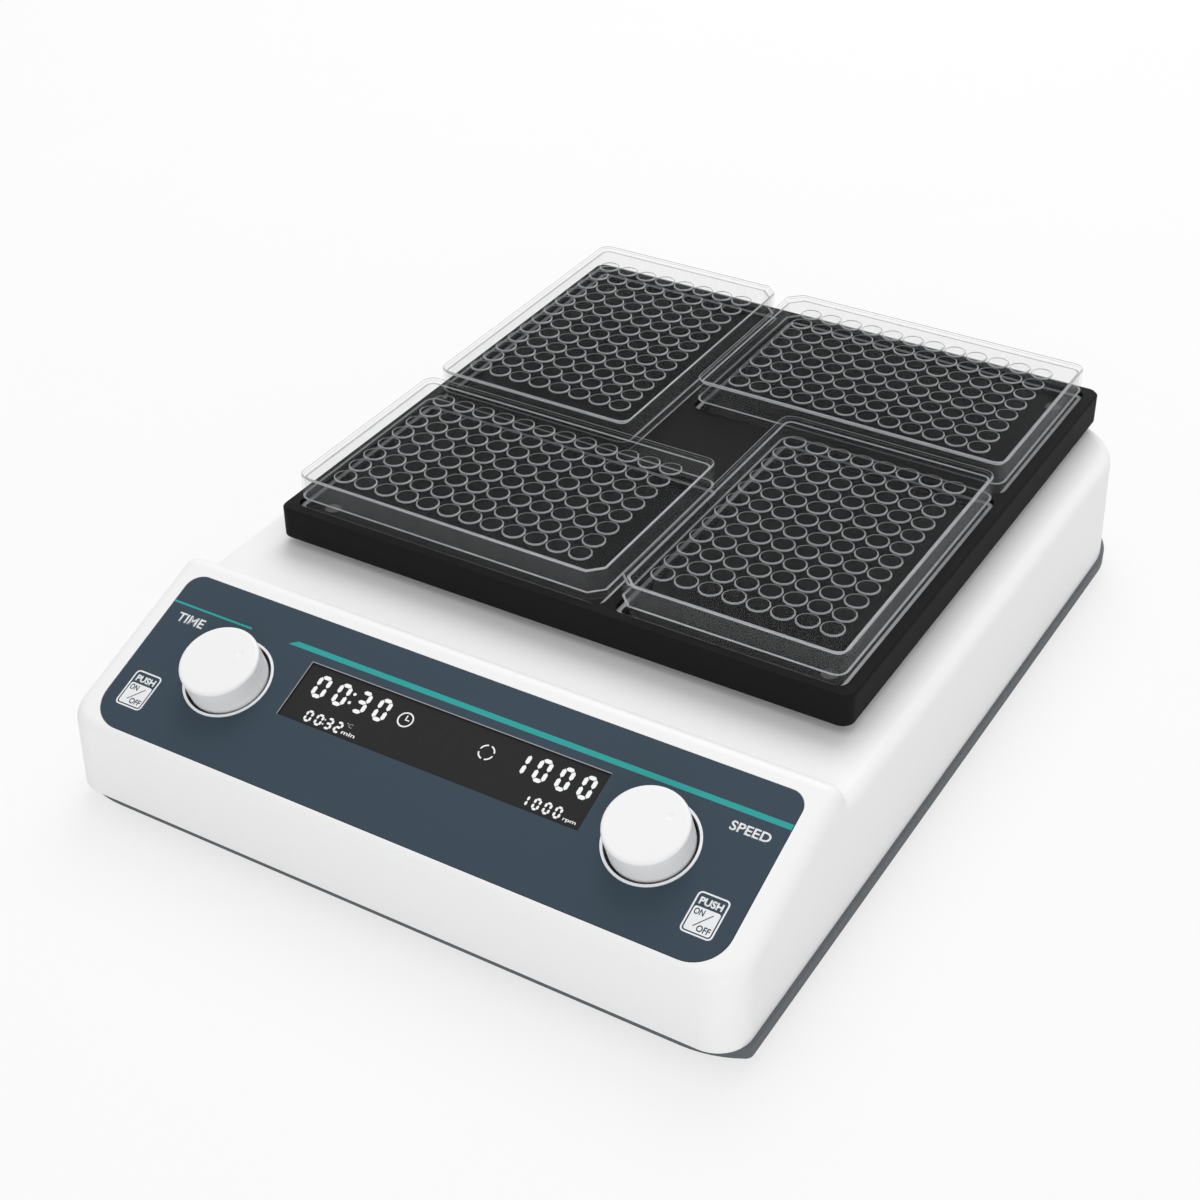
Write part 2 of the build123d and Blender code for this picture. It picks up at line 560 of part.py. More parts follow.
def knob_cups():
    """The dark cup that lines each knob well, open in the middle round the nut."""
    outside = KNOB_HOLE_RADIUS - FIT_CLEARANCE
    cup = rod(outside, -KNOB_WELL_DEPTH, 0)
    cup -= rod(outside - CUP_WALL, CUP_WALL - KNOB_WELL_DEPTH, 0)
    nut_corner = NUT_WIDTH / 2 / cos(radians(30))
    return repeat(KNOB_PLACES, cup - rod(nut_corner + SCREW_CLEARANCE, -KNOB_WELL_DEPTH, 0))


def knob_rings():
    """The light ring round each knob."""
    ring = rod(RING_OUTER_RADIUS, -PANEL_THICKNESS, RING_RISE)
    return repeat(KNOB_PLACES, ring - rod(KNOB_HOLE_RADIUS, -PANEL_THICKNESS, RING_RISE))


def plunger():
    """The small plate of the push switch that the shaft presses down."""
    return rod(PLUNGER_RADIUS, PLUNGER_TOP - PLUNGER_HEIGHT, PLUNGER_TOP)


def encoder_shaft():
    """The shaft that turns and presses with its knob."""
    return rod(ENCODER_SHAFT_RADIUS, PLUNGER_TOP, SHAFT_TOP)


def knob():
    """A hollow round knob with a hub, a softened rim and a shallow finger mark."""
    cup = rod(KNOB_RADIUS, -KNOB_SKIRT, KNOB_HEIGHT)
    cup = fillet(cup.edges().sort_by(Axis.Z)[-1], KNOB_EDGE)
    ceiling = KNOB_HEIGHT - KNOB_WALL
    cup -= rod(KNOB_RADIUS - KNOB_WALL, -KNOB_SKIRT, ceiling)
    hub_foot = KNOB_TRAVEL + KNOB_HUB_GAP - BUSHING_TOP
    cup += rod(KNOB_HUB_RADIUS, hub_foot, ceiling)
    cup -= rod(ENCODER_SHAFT_RADIUS + FIT_CLEARANCE, hub_foot, SHAFT_TOP)
    ball = (KNOB_DIMPLE_RADIUS**2 + KNOB_DIMPLE_DEPTH**2) / (2 * KNOB_DIMPLE_DEPTH)
    return cup - Pos(*KNOB_DIMPLE_AT, KNOB_HEIGHT + ball - KNOB_DIMPLE_DEPTH) * Sphere(ball)


# Rear connections

def inlet():
    """A power inlet: a bezel, a body behind it and a socket that narrows at its two upper corners."""
    width, height = INLET_SOCKET
    corner = height / 4
    half = width / 2
    shape = Polygon(
        (-half, -height / 2), (half, -height / 2), (half, height / 2 - corner),
        (half - corner, height / 2), (corner - half, height / 2), (-half, height / 2 - corner),
        align=None)
    body = Pos(0, RECESS_Y - INLET_DEPTH / 2) * Box(INLET_BODY[0], INLET_DEPTH, INLET_BODY[1])
    body += Pos(0, RECESS_Y + INLET_BEZEL / 2) * Box(INLET_FACE[0], INLET_BEZEL, INLET_FACE[1])
    socket = extrude(Plane.XZ.offset(-RECESS_Y - INLET_BEZEL) * shape, INLET_SOCKET_DEPTH)
    return Pos(INLET_X, 0, CONNECTION_Z) * (body - socket)


def inlet_pins():
    """The three blades in the inlet's socket."""
    floor = RECESS_Y + INLET_BEZEL - INLET_SOCKET_DEPTH
    blade = Pos(0, floor + INLET_PIN[2] / 2) * Box(INLET_PIN[0], INLET_PIN[2], INLET_PIN[1])
    drop = INLET_PIN[1] / 2
    places = [Pos(-INLET_PIN_SPACING, 0, -drop), Pos(INLET_PIN_SPACING, 0, -drop), Pos(0, 0, drop)]
    return repeat(spread(Pos(INLET_X, 0, CONNECTION_Z), places), blade)


def switch_body():
    """The frame of the rocker switch, with a pivot pin across it."""
    body = Pos(0, RECESS_Y - SWITCH_DEPTH / 2) * Box(SWITCH_BODY[0], SWITCH_DEPTH, SWITCH_BODY[1])
    body += Pos(0, RECESS_Y + SWITCH_BEZEL / 2) * Box(SWITCH_FACE[0], SWITCH_BEZEL, SWITCH_FACE[1])
    well = RECESS_Y + SWITCH_BEZEL - SWITCH_DEPTH / 2
    body -= Pos(0, well) * Box(SWITCH_OPENING[0], SWITCH_DEPTH, SWITCH_OPENING[1])
    pin = Cylinder(ROCKER_PIVOT_RADIUS, SWITCH_OPENING[0], rotation=(0, 90, 0))
    body += Pos(0, ROCKER_PIVOT_Y) * pin
    return Pos(SWITCH_X, 0, CONNECTION_Z) * body


def rocker():
    """The rocker, resting with one end in. Its face is hollow, as two flats that meet in the middle."""
    swing = ROCKER_PIVOT_DEPTH * sin(radians(ROCKER_ANGLE))
    half = SWITCH_OPENING[1] / 2 - ROCKER_CLEARANCE - swing
    crown = ROCKER_PIVOT_DEPTH
    dip = half * tan(radians(ROCKER_ANGLE))
    shape = Polygon(
        (-ROCKER_BELLY, -half / 2), (crown, -half), (crown - dip / 2, 0), (crown, half),
        (-ROCKER_BELLY, half / 2), align=None)
    width = SWITCH_OPENING[0] - 2 * ROCKER_CLEARANCE
    body = extrude(Plane.YZ * shape, width / 2, both=True)
    body -= Cylinder(ROCKER_PIVOT_RADIUS + RUNNING_CLEARANCE, SWITCH_OPENING[0], rotation=(0, 90, 0))
    return Pos(SWITCH_X, ROCKER_PIVOT_Y, CONNECTION_Z) * Rot(-ROCKER_ANGLE, 0, 0) * body


def power_supply():
    """The supply block on the floor of the pan, with its mounting flange."""
    length, depth, height = SUPPLY_SIZE
    flange_length, flange_height = SUPPLY_FLANGE
    case = block(length, depth, FLOOR_TOP, FLOOR_TOP + height)
    case = chamfer(case.faces().sort_by(Axis.Z)[-1].edges(), SUPPLY_EDGE)
    case += block(length + 2 * flange_length, depth, FLOOR_TOP, FLOOR_TOP + flange_height)
    return Pos(0, SUPPLY_Y) * case


# Drive

def standoffs():
    """Round spacers that carry the drive plate over the pan."""
    post = rod(STANDOFF_RADIUS, FLOOR_TOP, DRIVE_PLATE_BOTTOM)
    post -= rod(SCREW_RADIUS + FIT_CLEARANCE, FLOOR_TOP, BASE_SCREW_TOP)
    return repeat(STANDOFF_PLACES, post - rod(SCREW_RADIUS + FIT_CLEARANCE, SCREW_HOLE_BOTTOM, DRIVE_PLATE_TOP))


def drive_plate():
    """The machined plate that holds the motor and the idler bearings."""
    outline = RectangleRounded(DRIVE_PLATE_SIZE, DRIVE_PLATE_SIZE, DRIVE_PLATE_CORNER)
    plate = DRIVE_CENTRE * extrude(Pos(0, 0, DRIVE_PLATE_BOTTOM) * outline, DRIVE_PLATE_THICKNESS)
    for place in IDLER_PLACES:
        plate -= place * bearing_seat(DRIVE_PLATE_TOP, DRIVE_PLATE_BOTTOM)
    for place in [*STANDOFF_PLACES, *MOTOR_SCREWS]:
        plate -= place * rod(SCREW_RADIUS + SCREW_CLEARANCE, 0, DRIVE_PLATE_TOP)
    return plate - DRIVE_CENTRE * rod(SHAFT_RADIUS + SHAFT_HOLE_CLEARANCE, 0, DRIVE_PLATE_TOP)


def bearing_seat(top, bottom):
    """A counterbore for a bearing, open at the top, with a smaller hole under it."""
    seat = rod(BEARING_RADIUS + FIT_CLEARANCE, top - BEARING_WIDTH, top)
    return seat + rod(BEARING_RADIUS - BEARING_LIP, bottom, top)


def bearing(top, clearance):
    """A shielded ball bearing as a ring, with a groove between its races."""
    bore = SHAFT_RADIUS + clearance
    middle = (bore + BEARING_RADIUS) / 2
    ring = rod(BEARING_RADIUS, top - BEARING_WIDTH, top) - rod(bore, top - BEARING_WIDTH, top)
    groove = rod(middle + BEARING_GROOVE, top - BEARING_GROOVE, top)
    return ring - (groove - rod(middle - BEARING_GROOVE, top - BEARING_GROOVE, top))


def plate_screws():
    """Screws from the drive plate into the standoffs."""
    return repeat(STANDOFF_PLACES, screw(DRIVE_PLATE_TOP + SCREW_HEAD_HEIGHT))


def motor():
    """The flat motor under the drive plate."""
    can = rod(MOTOR_RADIUS, MOTOR_BOTTOM, DRIVE_PLATE_BOTTOM)
    can = chamfer(can.edges().sort_by(Axis.Z)[0], MOTOR_EDGE)
    can -= rod(SHAFT_RADIUS + RUNNING_CLEARANCE, MOTOR_BOTTOM + MOTOR_END, DRIVE_PLATE_BOTTOM)
    can = DRIVE_CENTRE * can
    for place in MOTOR_SCREWS:
        can -= place * rod(SCREW_RADIUS + FIT_CLEARANCE, SCREW_HOLE_BOTTOM, DRIVE_PLATE_TOP)
    return can


def motor_screws():
    """Screws from the drive plate into the motor's face."""
    return repeat(MOTOR_SCREWS, screw(DRIVE_PLATE_TOP + SCREW_HEAD_HEIGHT))


def motor_shaft():
    """The motor's shaft, up into the drive crank."""
    low = MOTOR_BOTTOM + MOTOR_END + CRANK_AXIAL_GAP
    return DRIVE_CENTRE * rod(SHAFT_RADIUS, low, CRANK_TOP - CRANK_SKIN)


def crank_pin():
    """The eccentric upper pin of a crank, with the collar under its bearing."""
    collar_top = CARRIER_TOP - BEARING_WIDTH - CRANK_AXIAL_GAP
    pin = rod(CRANK_COLLAR_RADIUS, CRANK_TOP, collar_top)
    pin += rod(SHAFT_RADIUS, collar_top, CARRIER_TOP - CRANK_AXIAL_GAP)
    return Pos(0, ORBIT_RADIUS) * pin


def drive_crank():
    """The crank on the motor's shaft."""
    disc = rod(CRANK_DISC_RADIUS, CRANK_BOTTOM, CRANK_TOP)
    disc -= rod(SHAFT_RADIUS + FIT_CLEARANCE, CRANK_BOTTOM, CRANK_TOP - CRANK_SKIN)
    return DRIVE_CENTRE * (disc + crank_pin())


def counterweight():
    """A half disc opposite the crank pin, which balances the tray."""
    top = CRANK_TOP + COUNTERWEIGHT_HEIGHT
    weight = rod(COUNTERWEIGHT_RADIUS, CRANK_TOP, top)
    pin_side = block(2 * COUNTERWEIGHT_RADIUS, 2 * COUNTERWEIGHT_RADIUS, CRANK_TOP, top)
    weight -= Pos(0, COUNTERWEIGHT_RADIUS + COUNTERWEIGHT_EDGE) * pin_side
    weight -= Pos(0, ORBIT_RADIUS) * rod(CRANK_COLLAR_RADIUS + FIT_CLEARANCE, CRANK_TOP, top)
    return DRIVE_CENTRE * weight


def idler_crank():
    """An idler crank: a journal in the drive plate's bearing and a pin in the carrier's."""
    journal = rod(SHAFT_RADIUS, DRIVE_PLATE_BOTTOM, CRANK_BOTTOM)
    disc = rod(CRANK_COLLAR_RADIUS + 2 * ORBIT_RADIUS, CRANK_BOTTOM, CRANK_TOP)
    return journal + disc + crank_pin()


# Tray

def carrier():
    """The metal plate under the tray that holds the upper bearings."""
    size = TRAY_SIZE - 2 * TRAY_WALL - 2 * CARRIER_CLEARANCE
    outline = RectangleRounded(size, size, TRAY_CORNER_RADIUS)
    plate = TRAY_CENTRE * extrude(Pos(0, 0, TRAY_BOTTOM) * outline, CARRIER_TOP - TRAY_BOTTOM)
    for place in (TRAY_CENTRE, *UPPER_PLACES):
        plate -= place * bearing_seat(CARRIER_TOP, TRAY_BOTTOM)
    for place in TRAY_SCREWS:
        plate -= place * rod(SCREW_RADIUS + FIT_CLEARANCE, TRAY_BOTTOM, CARRIER_TOP)
    return plate


def carrier_bearings():
    """The bearing on the drive crank, and four on the idler pins with an easier fit."""
    driven = TRAY_CENTRE * bearing(CARRIER_TOP, RUNNING_CLEARANCE)
    idle = [place * bearing(CARRIER_TOP, OPEN_PIVOT_CLEARANCE) for place in UPPER_PLACES]
    return Compound(children=[solid for shape in (driven, *idle) for solid in shape.solids()])


def tray():
    """The dark tray, hollow underneath, with a sunk seat for each plate."""
    outline = RectangleRounded(TRAY_SIZE, TRAY_SIZE, TRAY_CORNER_RADIUS)
    body = extrude(Pos(0, 0, TRAY_BOTTOM) * outline, TRAY_TOP - TRAY_BOTTOM)
    body = chamfer(body.faces().sort_by(Axis.Z)[-1].edges(), TRAY_EDGE)
    inside = TRAY_SIZE - 2 * TRAY_WALL
    hollow = RectangleRounded(inside, inside, TRAY_CORNER_RADIUS - TRAY_WALL / 2)
    body -= extrude(Pos(0, 0, TRAY_BOTTOM) * hollow, CARRIER_TOP - TRAY_BOTTOM)
    seat = RectangleRounded(PLATE_LENGTH + 2 * PLATE_SEAT_CLEARANCE, PLATE_WIDTH + 2 * PLATE_SEAT_CLEARANCE,
                            PLATE_CORNER_RADIUS + PLATE_SEAT_CLEARANCE)
    for place in PLATE_PLACES:
        body -= place * extrude(Pos(0, 0, SEAT_Z) * seat, PLATE_SEAT_DEPTH)
    centre = PLATE_LENGTH - PLATE_WIDTH + PLATE_GAP - 2 * TRAY_WALL
    body -= block(centre, centre, CARRIER_TOP, TRAY_TOP - TRAY_SKIN)
    body = TRAY_CENTRE * body
    for place in TRAY_SCREWS:
        body -= place * rod(SCREW_RADIUS + SCREW_CLEARANCE, TRAY_BOTTOM, SEAT_Z)
        body -= place * rod(SCREW_HEAD_RADIUS + SCREW_CLEARANCE, SEAT_Z - SCREW_HEAD_HEIGHT, SEAT_Z)
    return body


def tray_screws():
    """Sunk screws under the plates that hold the tray on its carrier."""
    return repeat(TRAY_SCREWS, screw(SEAT_Z, length=SEAT_Z - SCREW_HEAD_HEIGHT - TRAY_BOTTOM))


# Microplates and lids

def plate_body_outline(grow=0.0):
    """The plate's upper outline, with the cut corner that marks the first well."""
    length = PLATE_LENGTH - 2 * PLATE_STEP + 2 * grow
    width = PLATE_WIDTH - 2 * PLATE_STEP + 2 * grow
    outline = RectangleRounded(length, width, PLATE_CORNER_RADIUS + grow)
    corner = Pos(length / 2, -width / 2) * Rectangle(PLATE_NOTCH * 2**0.5, PLATE_NOTCH * 2**0.5, rotation=45)
    return outline - corner


def plate():
    """A 96-well plate on its foot flange, with the wells as open pockets."""
    body = extrude(RectangleRounded(PLATE_LENGTH, PLATE_WIDTH, PLATE_CORNER_RADIUS), PLATE_FLANGE)
    body += extrude(plate_body_outline(), PLATE_HEIGHT)
    under = PLATE_HEIGHT - WELL_DEPTH - PLATE_WALL
    body -= extrude(offset(plate_body_outline(), -PLATE_WALL), under)
    grid = GridLocations(WELL_PITCH, WELL_PITCH, WELL_COLUMNS, WELL_ROWS)
    wells = grid * RegularPolygon(WELL_WIDTH / 2, 6, major_radius=False)
    return body - extrude(Pos(0, 0, PLATE_HEIGHT - WELL_DEPTH) * Sketch(children=wells), WELL_DEPTH)


def lid():
    """A lid that rests on the plate's rim, with a shallow air space over the wells."""
    outer = plate_body_outline(LID_SIDE_CLEARANCE + LID_WALL)
    top = PLATE_HEIGHT + LID_AIR + LID_TOP
    cap = extrude(Pos(0, 0, top - LID_HEIGHT) * outer, LID_HEIGHT)
    cap = chamfer(cap.faces().sort_by(Axis.Z)[-1].edges(), LID_WALL / 2)
    cap -= extrude(Pos(0, 0, top - LID_HEIGHT) * plate_body_outline(LID_SIDE_CLEARANCE),
                   LID_HEIGHT - LID_AIR - LID_TOP)
    return cap - extrude(Pos(0, 0, PLATE_HEIGHT) * plate_body_outline(-LID_RIM), LID_AIR)


def turned_plate_place(turn):
    """A plate's place on the tray. Every other plate is set down the other way round."""
    return TRAY_CENTRE * PLATE_PLACES[turn] * Pos(0, 0, SEAT_Z) * Rot(0, 0, 180 * (turn % 2))


# Write every piece

NODES = {
    "base_plate": base_plate(),
    "feet": feet(),
    "base_screws": base_screws(),
    "housing": housing(),
    "panel_overlay": panel_overlay(),
    "display_window": display_window(),
    "display_module": display_module(),
    "control_board": control_board(),
    "board_screws": board_screws(),
    "encoder_nuts": encoder_nuts(),
    "knob_cups": knob_cups(),
    "knob_rings": knob_rings(),
    "inlet": inlet(),
    "inlet_pins": inlet_pins(),
    "switch_body": switch_body(),
    "rocker": rocker(),
    "power_supply": power_supply(),
    "standoffs": standoffs(),
    "drive_plate": drive_plate(),
    "plate_screws": plate_screws(),
    "motor": motor(),
    "motor_screws": motor_screws(),
    "motor_shaft": motor_shaft(),
    "drive_crank": drive_crank(),
    "counterweight": counterweight(),
    "frame_bearings": repeat(IDLER_PLACES, bearing(DRIVE_PLATE_TOP, RUNNING_CLEARANCE)),
    "tray_carrier": carrier(),
    "carrier_bearings": carrier_bearings(),
    "tray": tray(),
    "tray_screws": tray_screws(),
}
for name, place in zip(KNOB_AT, KNOB_PLACES):
    NODES[f"{name}_encoder"] = place * encoder()
    NODES[f"{name}_plunger"] = place * plunger()
    NODES[f"{name}_shaft"] = place * encoder_shaft()
    NODES[f"{name}_knob"] = place * knob()
for number, place in enumerate(IDLER_PLACES, start=1):
    NODES[f"idler_crank_{number}"] = place * idler_crank()
for turn in range(4):
    NODES[f"microplate_{turn + 1}"] = turned_plate_place(turn) * plate()
    NODES[f"lid_{turn + 1}"] = turned_plate_place(turn) * lid()

for name, shape in NODES.items():
    export_step(shape, f"parts/{name}.step")
    print(name, len(shape.solids()))
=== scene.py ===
# %% [markdown]
# # An orbital shaker for microplates
#
# The machine is a low white cover on a dark base, with a sloped console at the front and a dark
# tray that carries four clear plates with lids. Its solids come from the frame, at their real size
# and place. This script gives every surface its finish, and models what a solid can't show: round
# wells, thin clear walls, and the marks on the console and the display.

import json
from math import cos, pi, radians, sin

import bmesh
import bpy
from mathutils import Matrix, Vector


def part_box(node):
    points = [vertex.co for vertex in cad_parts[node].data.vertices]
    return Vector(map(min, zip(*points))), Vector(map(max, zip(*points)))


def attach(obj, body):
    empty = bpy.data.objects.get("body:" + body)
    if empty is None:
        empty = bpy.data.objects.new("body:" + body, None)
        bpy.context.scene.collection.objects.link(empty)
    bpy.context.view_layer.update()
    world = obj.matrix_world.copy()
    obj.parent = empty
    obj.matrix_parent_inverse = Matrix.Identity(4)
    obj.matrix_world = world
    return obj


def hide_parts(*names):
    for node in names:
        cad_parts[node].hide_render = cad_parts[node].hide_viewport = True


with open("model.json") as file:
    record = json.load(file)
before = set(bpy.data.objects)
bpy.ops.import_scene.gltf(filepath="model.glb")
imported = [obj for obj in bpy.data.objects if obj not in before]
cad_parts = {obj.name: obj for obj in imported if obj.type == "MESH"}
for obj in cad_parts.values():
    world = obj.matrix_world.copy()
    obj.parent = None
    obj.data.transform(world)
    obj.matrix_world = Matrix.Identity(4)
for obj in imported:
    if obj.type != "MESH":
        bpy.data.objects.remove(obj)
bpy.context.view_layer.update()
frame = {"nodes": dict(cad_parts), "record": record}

# %% [markdown]
# ## Sizes
#
# Sizes are written in millimetres, as on a drawing, and every mesh is scaled to metres when it is
# placed. Places come from the frame where it has them: the box of a node says where its top, its
# middle or its edge is, so a finished piece can't drift from the solid that carries it.

# %% Millimetres and boxes
MM = 0.001


def box(node):
    """A node's lowest and highest corner, in millimetres."""
    low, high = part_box(node)
    return Vector(low) / MM, Vector(high) / MM


def middle(node):
    """The middle of a node's box, in millimetres."""
    low, high = box(node)
    return (low + high) / 2


print("tray top", round(box("tray")[1].z, 2), "cover top", round(box("housing")[1].z, 2))

# %% [markdown]
# ## The camera
#
# The photograph looks down on the front right corner with a longish lens. A camera in Blender looks
# along its own -Z with +Y up, so a place, a point to look at and a small roll say everything.

# %% Camera
CAMERA_AT = Vector((321.6, -559.5, 482.9))
CAMERA_AIM = Vector((10.4, -45.1, 60.0))
CAMERA_ROLL = radians(-0.676)
CAMERA_LENS = 63.81

camera = bpy.data.objects.new("camera", bpy.data.cameras.new("camera"))
camera.data.lens = CAMERA_LENS
camera.data.sensor_width = 36.0
camera.data.clip_start = 0.01
sight = (CAMERA_AIM - CAMERA_AT).to_track_quat("-Z", "Y").to_matrix().to_4x4()
camera.matrix_world = Matrix.Translation(CAMERA_AT * MM) @ sight @ Matrix.Rotation(CAMERA_ROLL, 4, "Z")
bpy.context.scene.collection.objects.link(camera)
bpy.context.scene.camera = camera
print("camera at", camera.location)

# %% [markdown]
# ## Shader maths as Python
#
# A material is a graph of nodes. Written by hand, that is a line for each node and a line for each
# wire. Here a small class wraps an output socket, and Python's own operators add the Math nodes, so
# `1 - mask` reads as what it is. Every other node comes from one method.

# %% A socket with operators, and one method for the other nodes
class Socket:
    """An output socket. Each operator on it adds one Math node."""

    def __init__(self, socket):
        self.socket = socket

    def math(self, operation, first, second=0.0):
        owner = NodeMaker(self.socket.id_data)
        return owner.node("ShaderNodeMath", {"operation": operation}, {0: first, 1: second})

    def __add__(self, other):
        return self.math("ADD", self, other)

    def __mul__(self, other):
        return self.math("MULTIPLY", self, other)

    def __sub__(self, other):
        return self.math("SUBTRACT", self, other)

    def __rsub__(self, other):
        return self.math("SUBTRACT", other, self)

    def __pow__(self, other):
        return self.math("POWER", self, other)

    __radd__ = __add__
    __rmul__ = __mul__


class NodeMaker:
    """Adds nodes to one tree."""

    def __init__(self, tree):
        self.tree = tree

    def node(self, kind, settings=None, inputs=None, output=0):
        """Add a node: its type, its settings, the values or links of its sockets, and which output."""
        made = self.tree.nodes.new(kind)
        for name, value in (settings or {}).items():
            setattr(made, name, value)
        for name, value in (inputs or {}).items():
            if isinstance(value, Socket):
                self.tree.links.new(value.socket, made.inputs[name])
            else:
                made.inputs[name].default_value = value
        return Socket(made.outputs[output]) if made.outputs else None


# %% [markdown]
# ## What every finish shares
#
# Real surfaces are never one value. A moulded part has a fine grain, its gloss wanders a little over
# a few centimetres, and handling leaves faint marks. All of these read Object coordinates. The
# pieces sit at the origin, so Object coordinates are simply metres in the machine's own frame.

# %% A finish
class Finish(NodeMaker):
    """A material, with the textures that most finishes need."""

    def __init__(self, name):
        self.material = bpy.data.materials.new(name)
        self.material.use_nodes = True
        super().__init__(self.material.node_tree)
        self.tree.nodes.clear()
        self.place = self.node("ShaderNodeTexCoord", output="Object")

    def noise(self, size_mm, detail=2.0, stretch=(1.0, 1.0, 1.0)):
        """Smooth noise from 0 to 1, with blobs of about the given size."""
        scale = tuple(part / (size_mm * MM) for part in stretch)
        where = self.node("ShaderNodeMapping", None, {"Vector": self.place, "Scale": scale})
        return self.node("ShaderNodeTexNoise", None, {"Vector": where, "Scale": 1.0, "Detail": detail})

    def contrast(self, value, low, high):
        """Spread a value so that low becomes 0 and high becomes 1."""
        return self.node("ShaderNodeMapRange", {"clamp": True},
                         {"Value": value, "From Min": low, "From Max": high})

    def mix(self, factor, first, second):
        """One colour blended into another."""
        return self.node("ShaderNodeMix", {"data_type": "RGBA"},
                         {0: factor, 6: (*first, 1.0) if isinstance(first, tuple) else first,
                          7: (*second, 1.0) if isinstance(second, tuple) else second}, output=2)

    def bump(self, height, depth_mm, strength=1.0):
        """Turn a height from 0 to 1 into a normal, with the real depth of the relief."""
        return self.node("ShaderNodeBump", None,
                         {"Height": height, "Distance": depth_mm * MM, "Strength": strength})

    def finish(self, **sockets):
        """Close the graph with a Principled shader."""
        named = {name.replace("_", " "): value for name, value in sockets.items()}
        shader = self.node("ShaderNodeBsdfPrincipled", None, named)
        self.node("ShaderNodeOutputMaterial", None, {"Surface": shader})
        return self.material


def shade(red, green, blue):
    """A colour as a screen shows it, from 0 to 255, in the linear values that a shader takes."""
    return tuple((part / 255) ** 2.2 for part in (red, green, blue))


# %% [markdown]
# ## Moulded plastic
#
# One function makes all the opaque plastics: a colour that varies by a few percent, a fine grain as
# bump, a gloss that wanders, and sparse short scuffs that are a little rougher. Only the numbers
# differ between the glossy cover, the grained base and the satin tray.

# %% Opaque plastics
def plastic(name, colour, gloss, grain_mm, grain_depth, specular=0.5, wander=0.06, tone=0.04):
    """A moulded plastic with grain, a wandering gloss and faint scuffs."""
    made = Finish(name)
    broad = made.noise(38.0, 3.0)
    grain = made.noise(grain_mm, 3.0)
    scuffs = made.contrast(made.noise(9.0, 6.0, stretch=(0.25, 1.0, 1.0)), 0.62, 0.74)
    darker = tuple(part * (1.0 - 2.0 * tone) for part in colour)
    base = made.mix(broad, darker, colour)
    rough = gloss + (broad - 0.5) * wander + (grain - 0.5) * (wander / 2) + scuffs * wander
    return made.finish(Base_Color=base, Roughness=rough, Specular_IOR_Level=specular,
                       Normal=made.bump(grain, grain_depth))


WHITE = plastic("white_cover", (0.9, 0.9, 0.905), 0.42, 0.5, 0.006, specular=0.35, tone=0.01)
BASE = plastic("base_grey", shade(98, 102, 106), 0.55, 0.6, 0.02, specular=0.3)
SLATE = plastic("slate_film", shade(60, 73, 84), 0.5, 0.35, 0.004, specular=0.12, tone=0.03)
TRAY = plastic("tray_satin", shade(33, 33, 34), 0.6, 0.55, 0.012, specular=0.05, tone=0.05)
BLACK = plastic("black_plastic", shade(36, 36, 37), 0.45, 0.5, 0.01, specular=0.4)
RUBBER = plastic("foot_rubber", shade(40, 40, 40), 0.85, 0.4, 0.03, specular=0.2)
RING = plastic("ring_light", (0.86, 0.88, 0.9), 0.3, 0.5, 0.002, specular=0.4, tone=0.01)
print("plastics made")

# %% [markdown]
# ## Metals, the board and the motor's paint
#
# The inner pieces are seen only when the machine is taken apart, but a library part is used that
# way. Turned steel and brass have fine lines round or across them, so their noise is stretched.

# %% Metals, board and paint
def metal(name, colour, gloss):
    """Machined metal with fine tool marks and a few dull patches."""
    made = Finish(name)
    lines = made.noise(0.25, 2.0, stretch=(0.04, 1.0, 1.0))
    patches = made.noise(14.0, 4.0)
    base = made.mix(patches, tuple(part * 0.82 for part in colour), colour)
    rough = gloss + (lines - 0.5) * 0.16 + (patches - 0.5) * 0.12
    return made.finish(Base_Color=base, Metallic=1.0, Roughness=rough, Normal=made.bump(lines, 0.004))


STEEL = metal("steel", (0.58, 0.58, 0.59), 0.3)
ALUMINIUM = metal("aluminium", (0.72, 0.73, 0.74), 0.38)
BRASS = metal("brass", (0.72, 0.53, 0.25), 0.28)
PAINT = plastic("motor_paint", shade(50, 50, 52), 0.4, 1.2, 0.03)
BOARD = plastic("coated_board", (0.02, 0.14, 0.06), 0.3, 2.0, 0.02)
print("metals made")

# %% [markdown]
# ## The display's window
#
# A tinted window over a dark display: glossy and almost flat in colour, with a faint haze, which is
# the anti-glare coating.

# %% Window
window = Finish("tinted_window")
haze = window.noise(1.2, 4.0)
WINDOW = window.finish(
    Base_Color=window.mix(haze, shade(40, 40, 41), shade(45, 45, 46)), Roughness=0.22 + haze * 0.08,
    Specular_IOR_Level=0.12, Normal=window.bump(haze, 0.001))

# %% [markdown]
# ## Dressing the frame's own nodes
#
# A node whose shape is right stays as it is, and only its material changes. The table says which
# finish each slot of the record takes.

# %% Give every node its finish
SLOTS = {
    "white_plastic": WHITE, "base_grey": BASE, "slate_panel": SLATE, "window": WINDOW,
    "ring_light": RING, "tray_black": TRAY, "clear_plastic": TRAY, "rubber_foot": RUBBER,
    "steel": STEEL, "aluminium": ALUMINIUM, "brass": BRASS, "black_plastic": BLACK,
    "board_green": BOARD, "motor_case": PAINT, "black_steel": BLACK,
}
node_slots = {part["node"]: part["material_slot"] for part in frame["record"]["subparts"]}
for name, node in frame["nodes"].items():
    node.data.materials.clear()
    node.data.materials.append(SLOTS[node_slots[name]])
print("dressed", len(node_slots), "nodes")
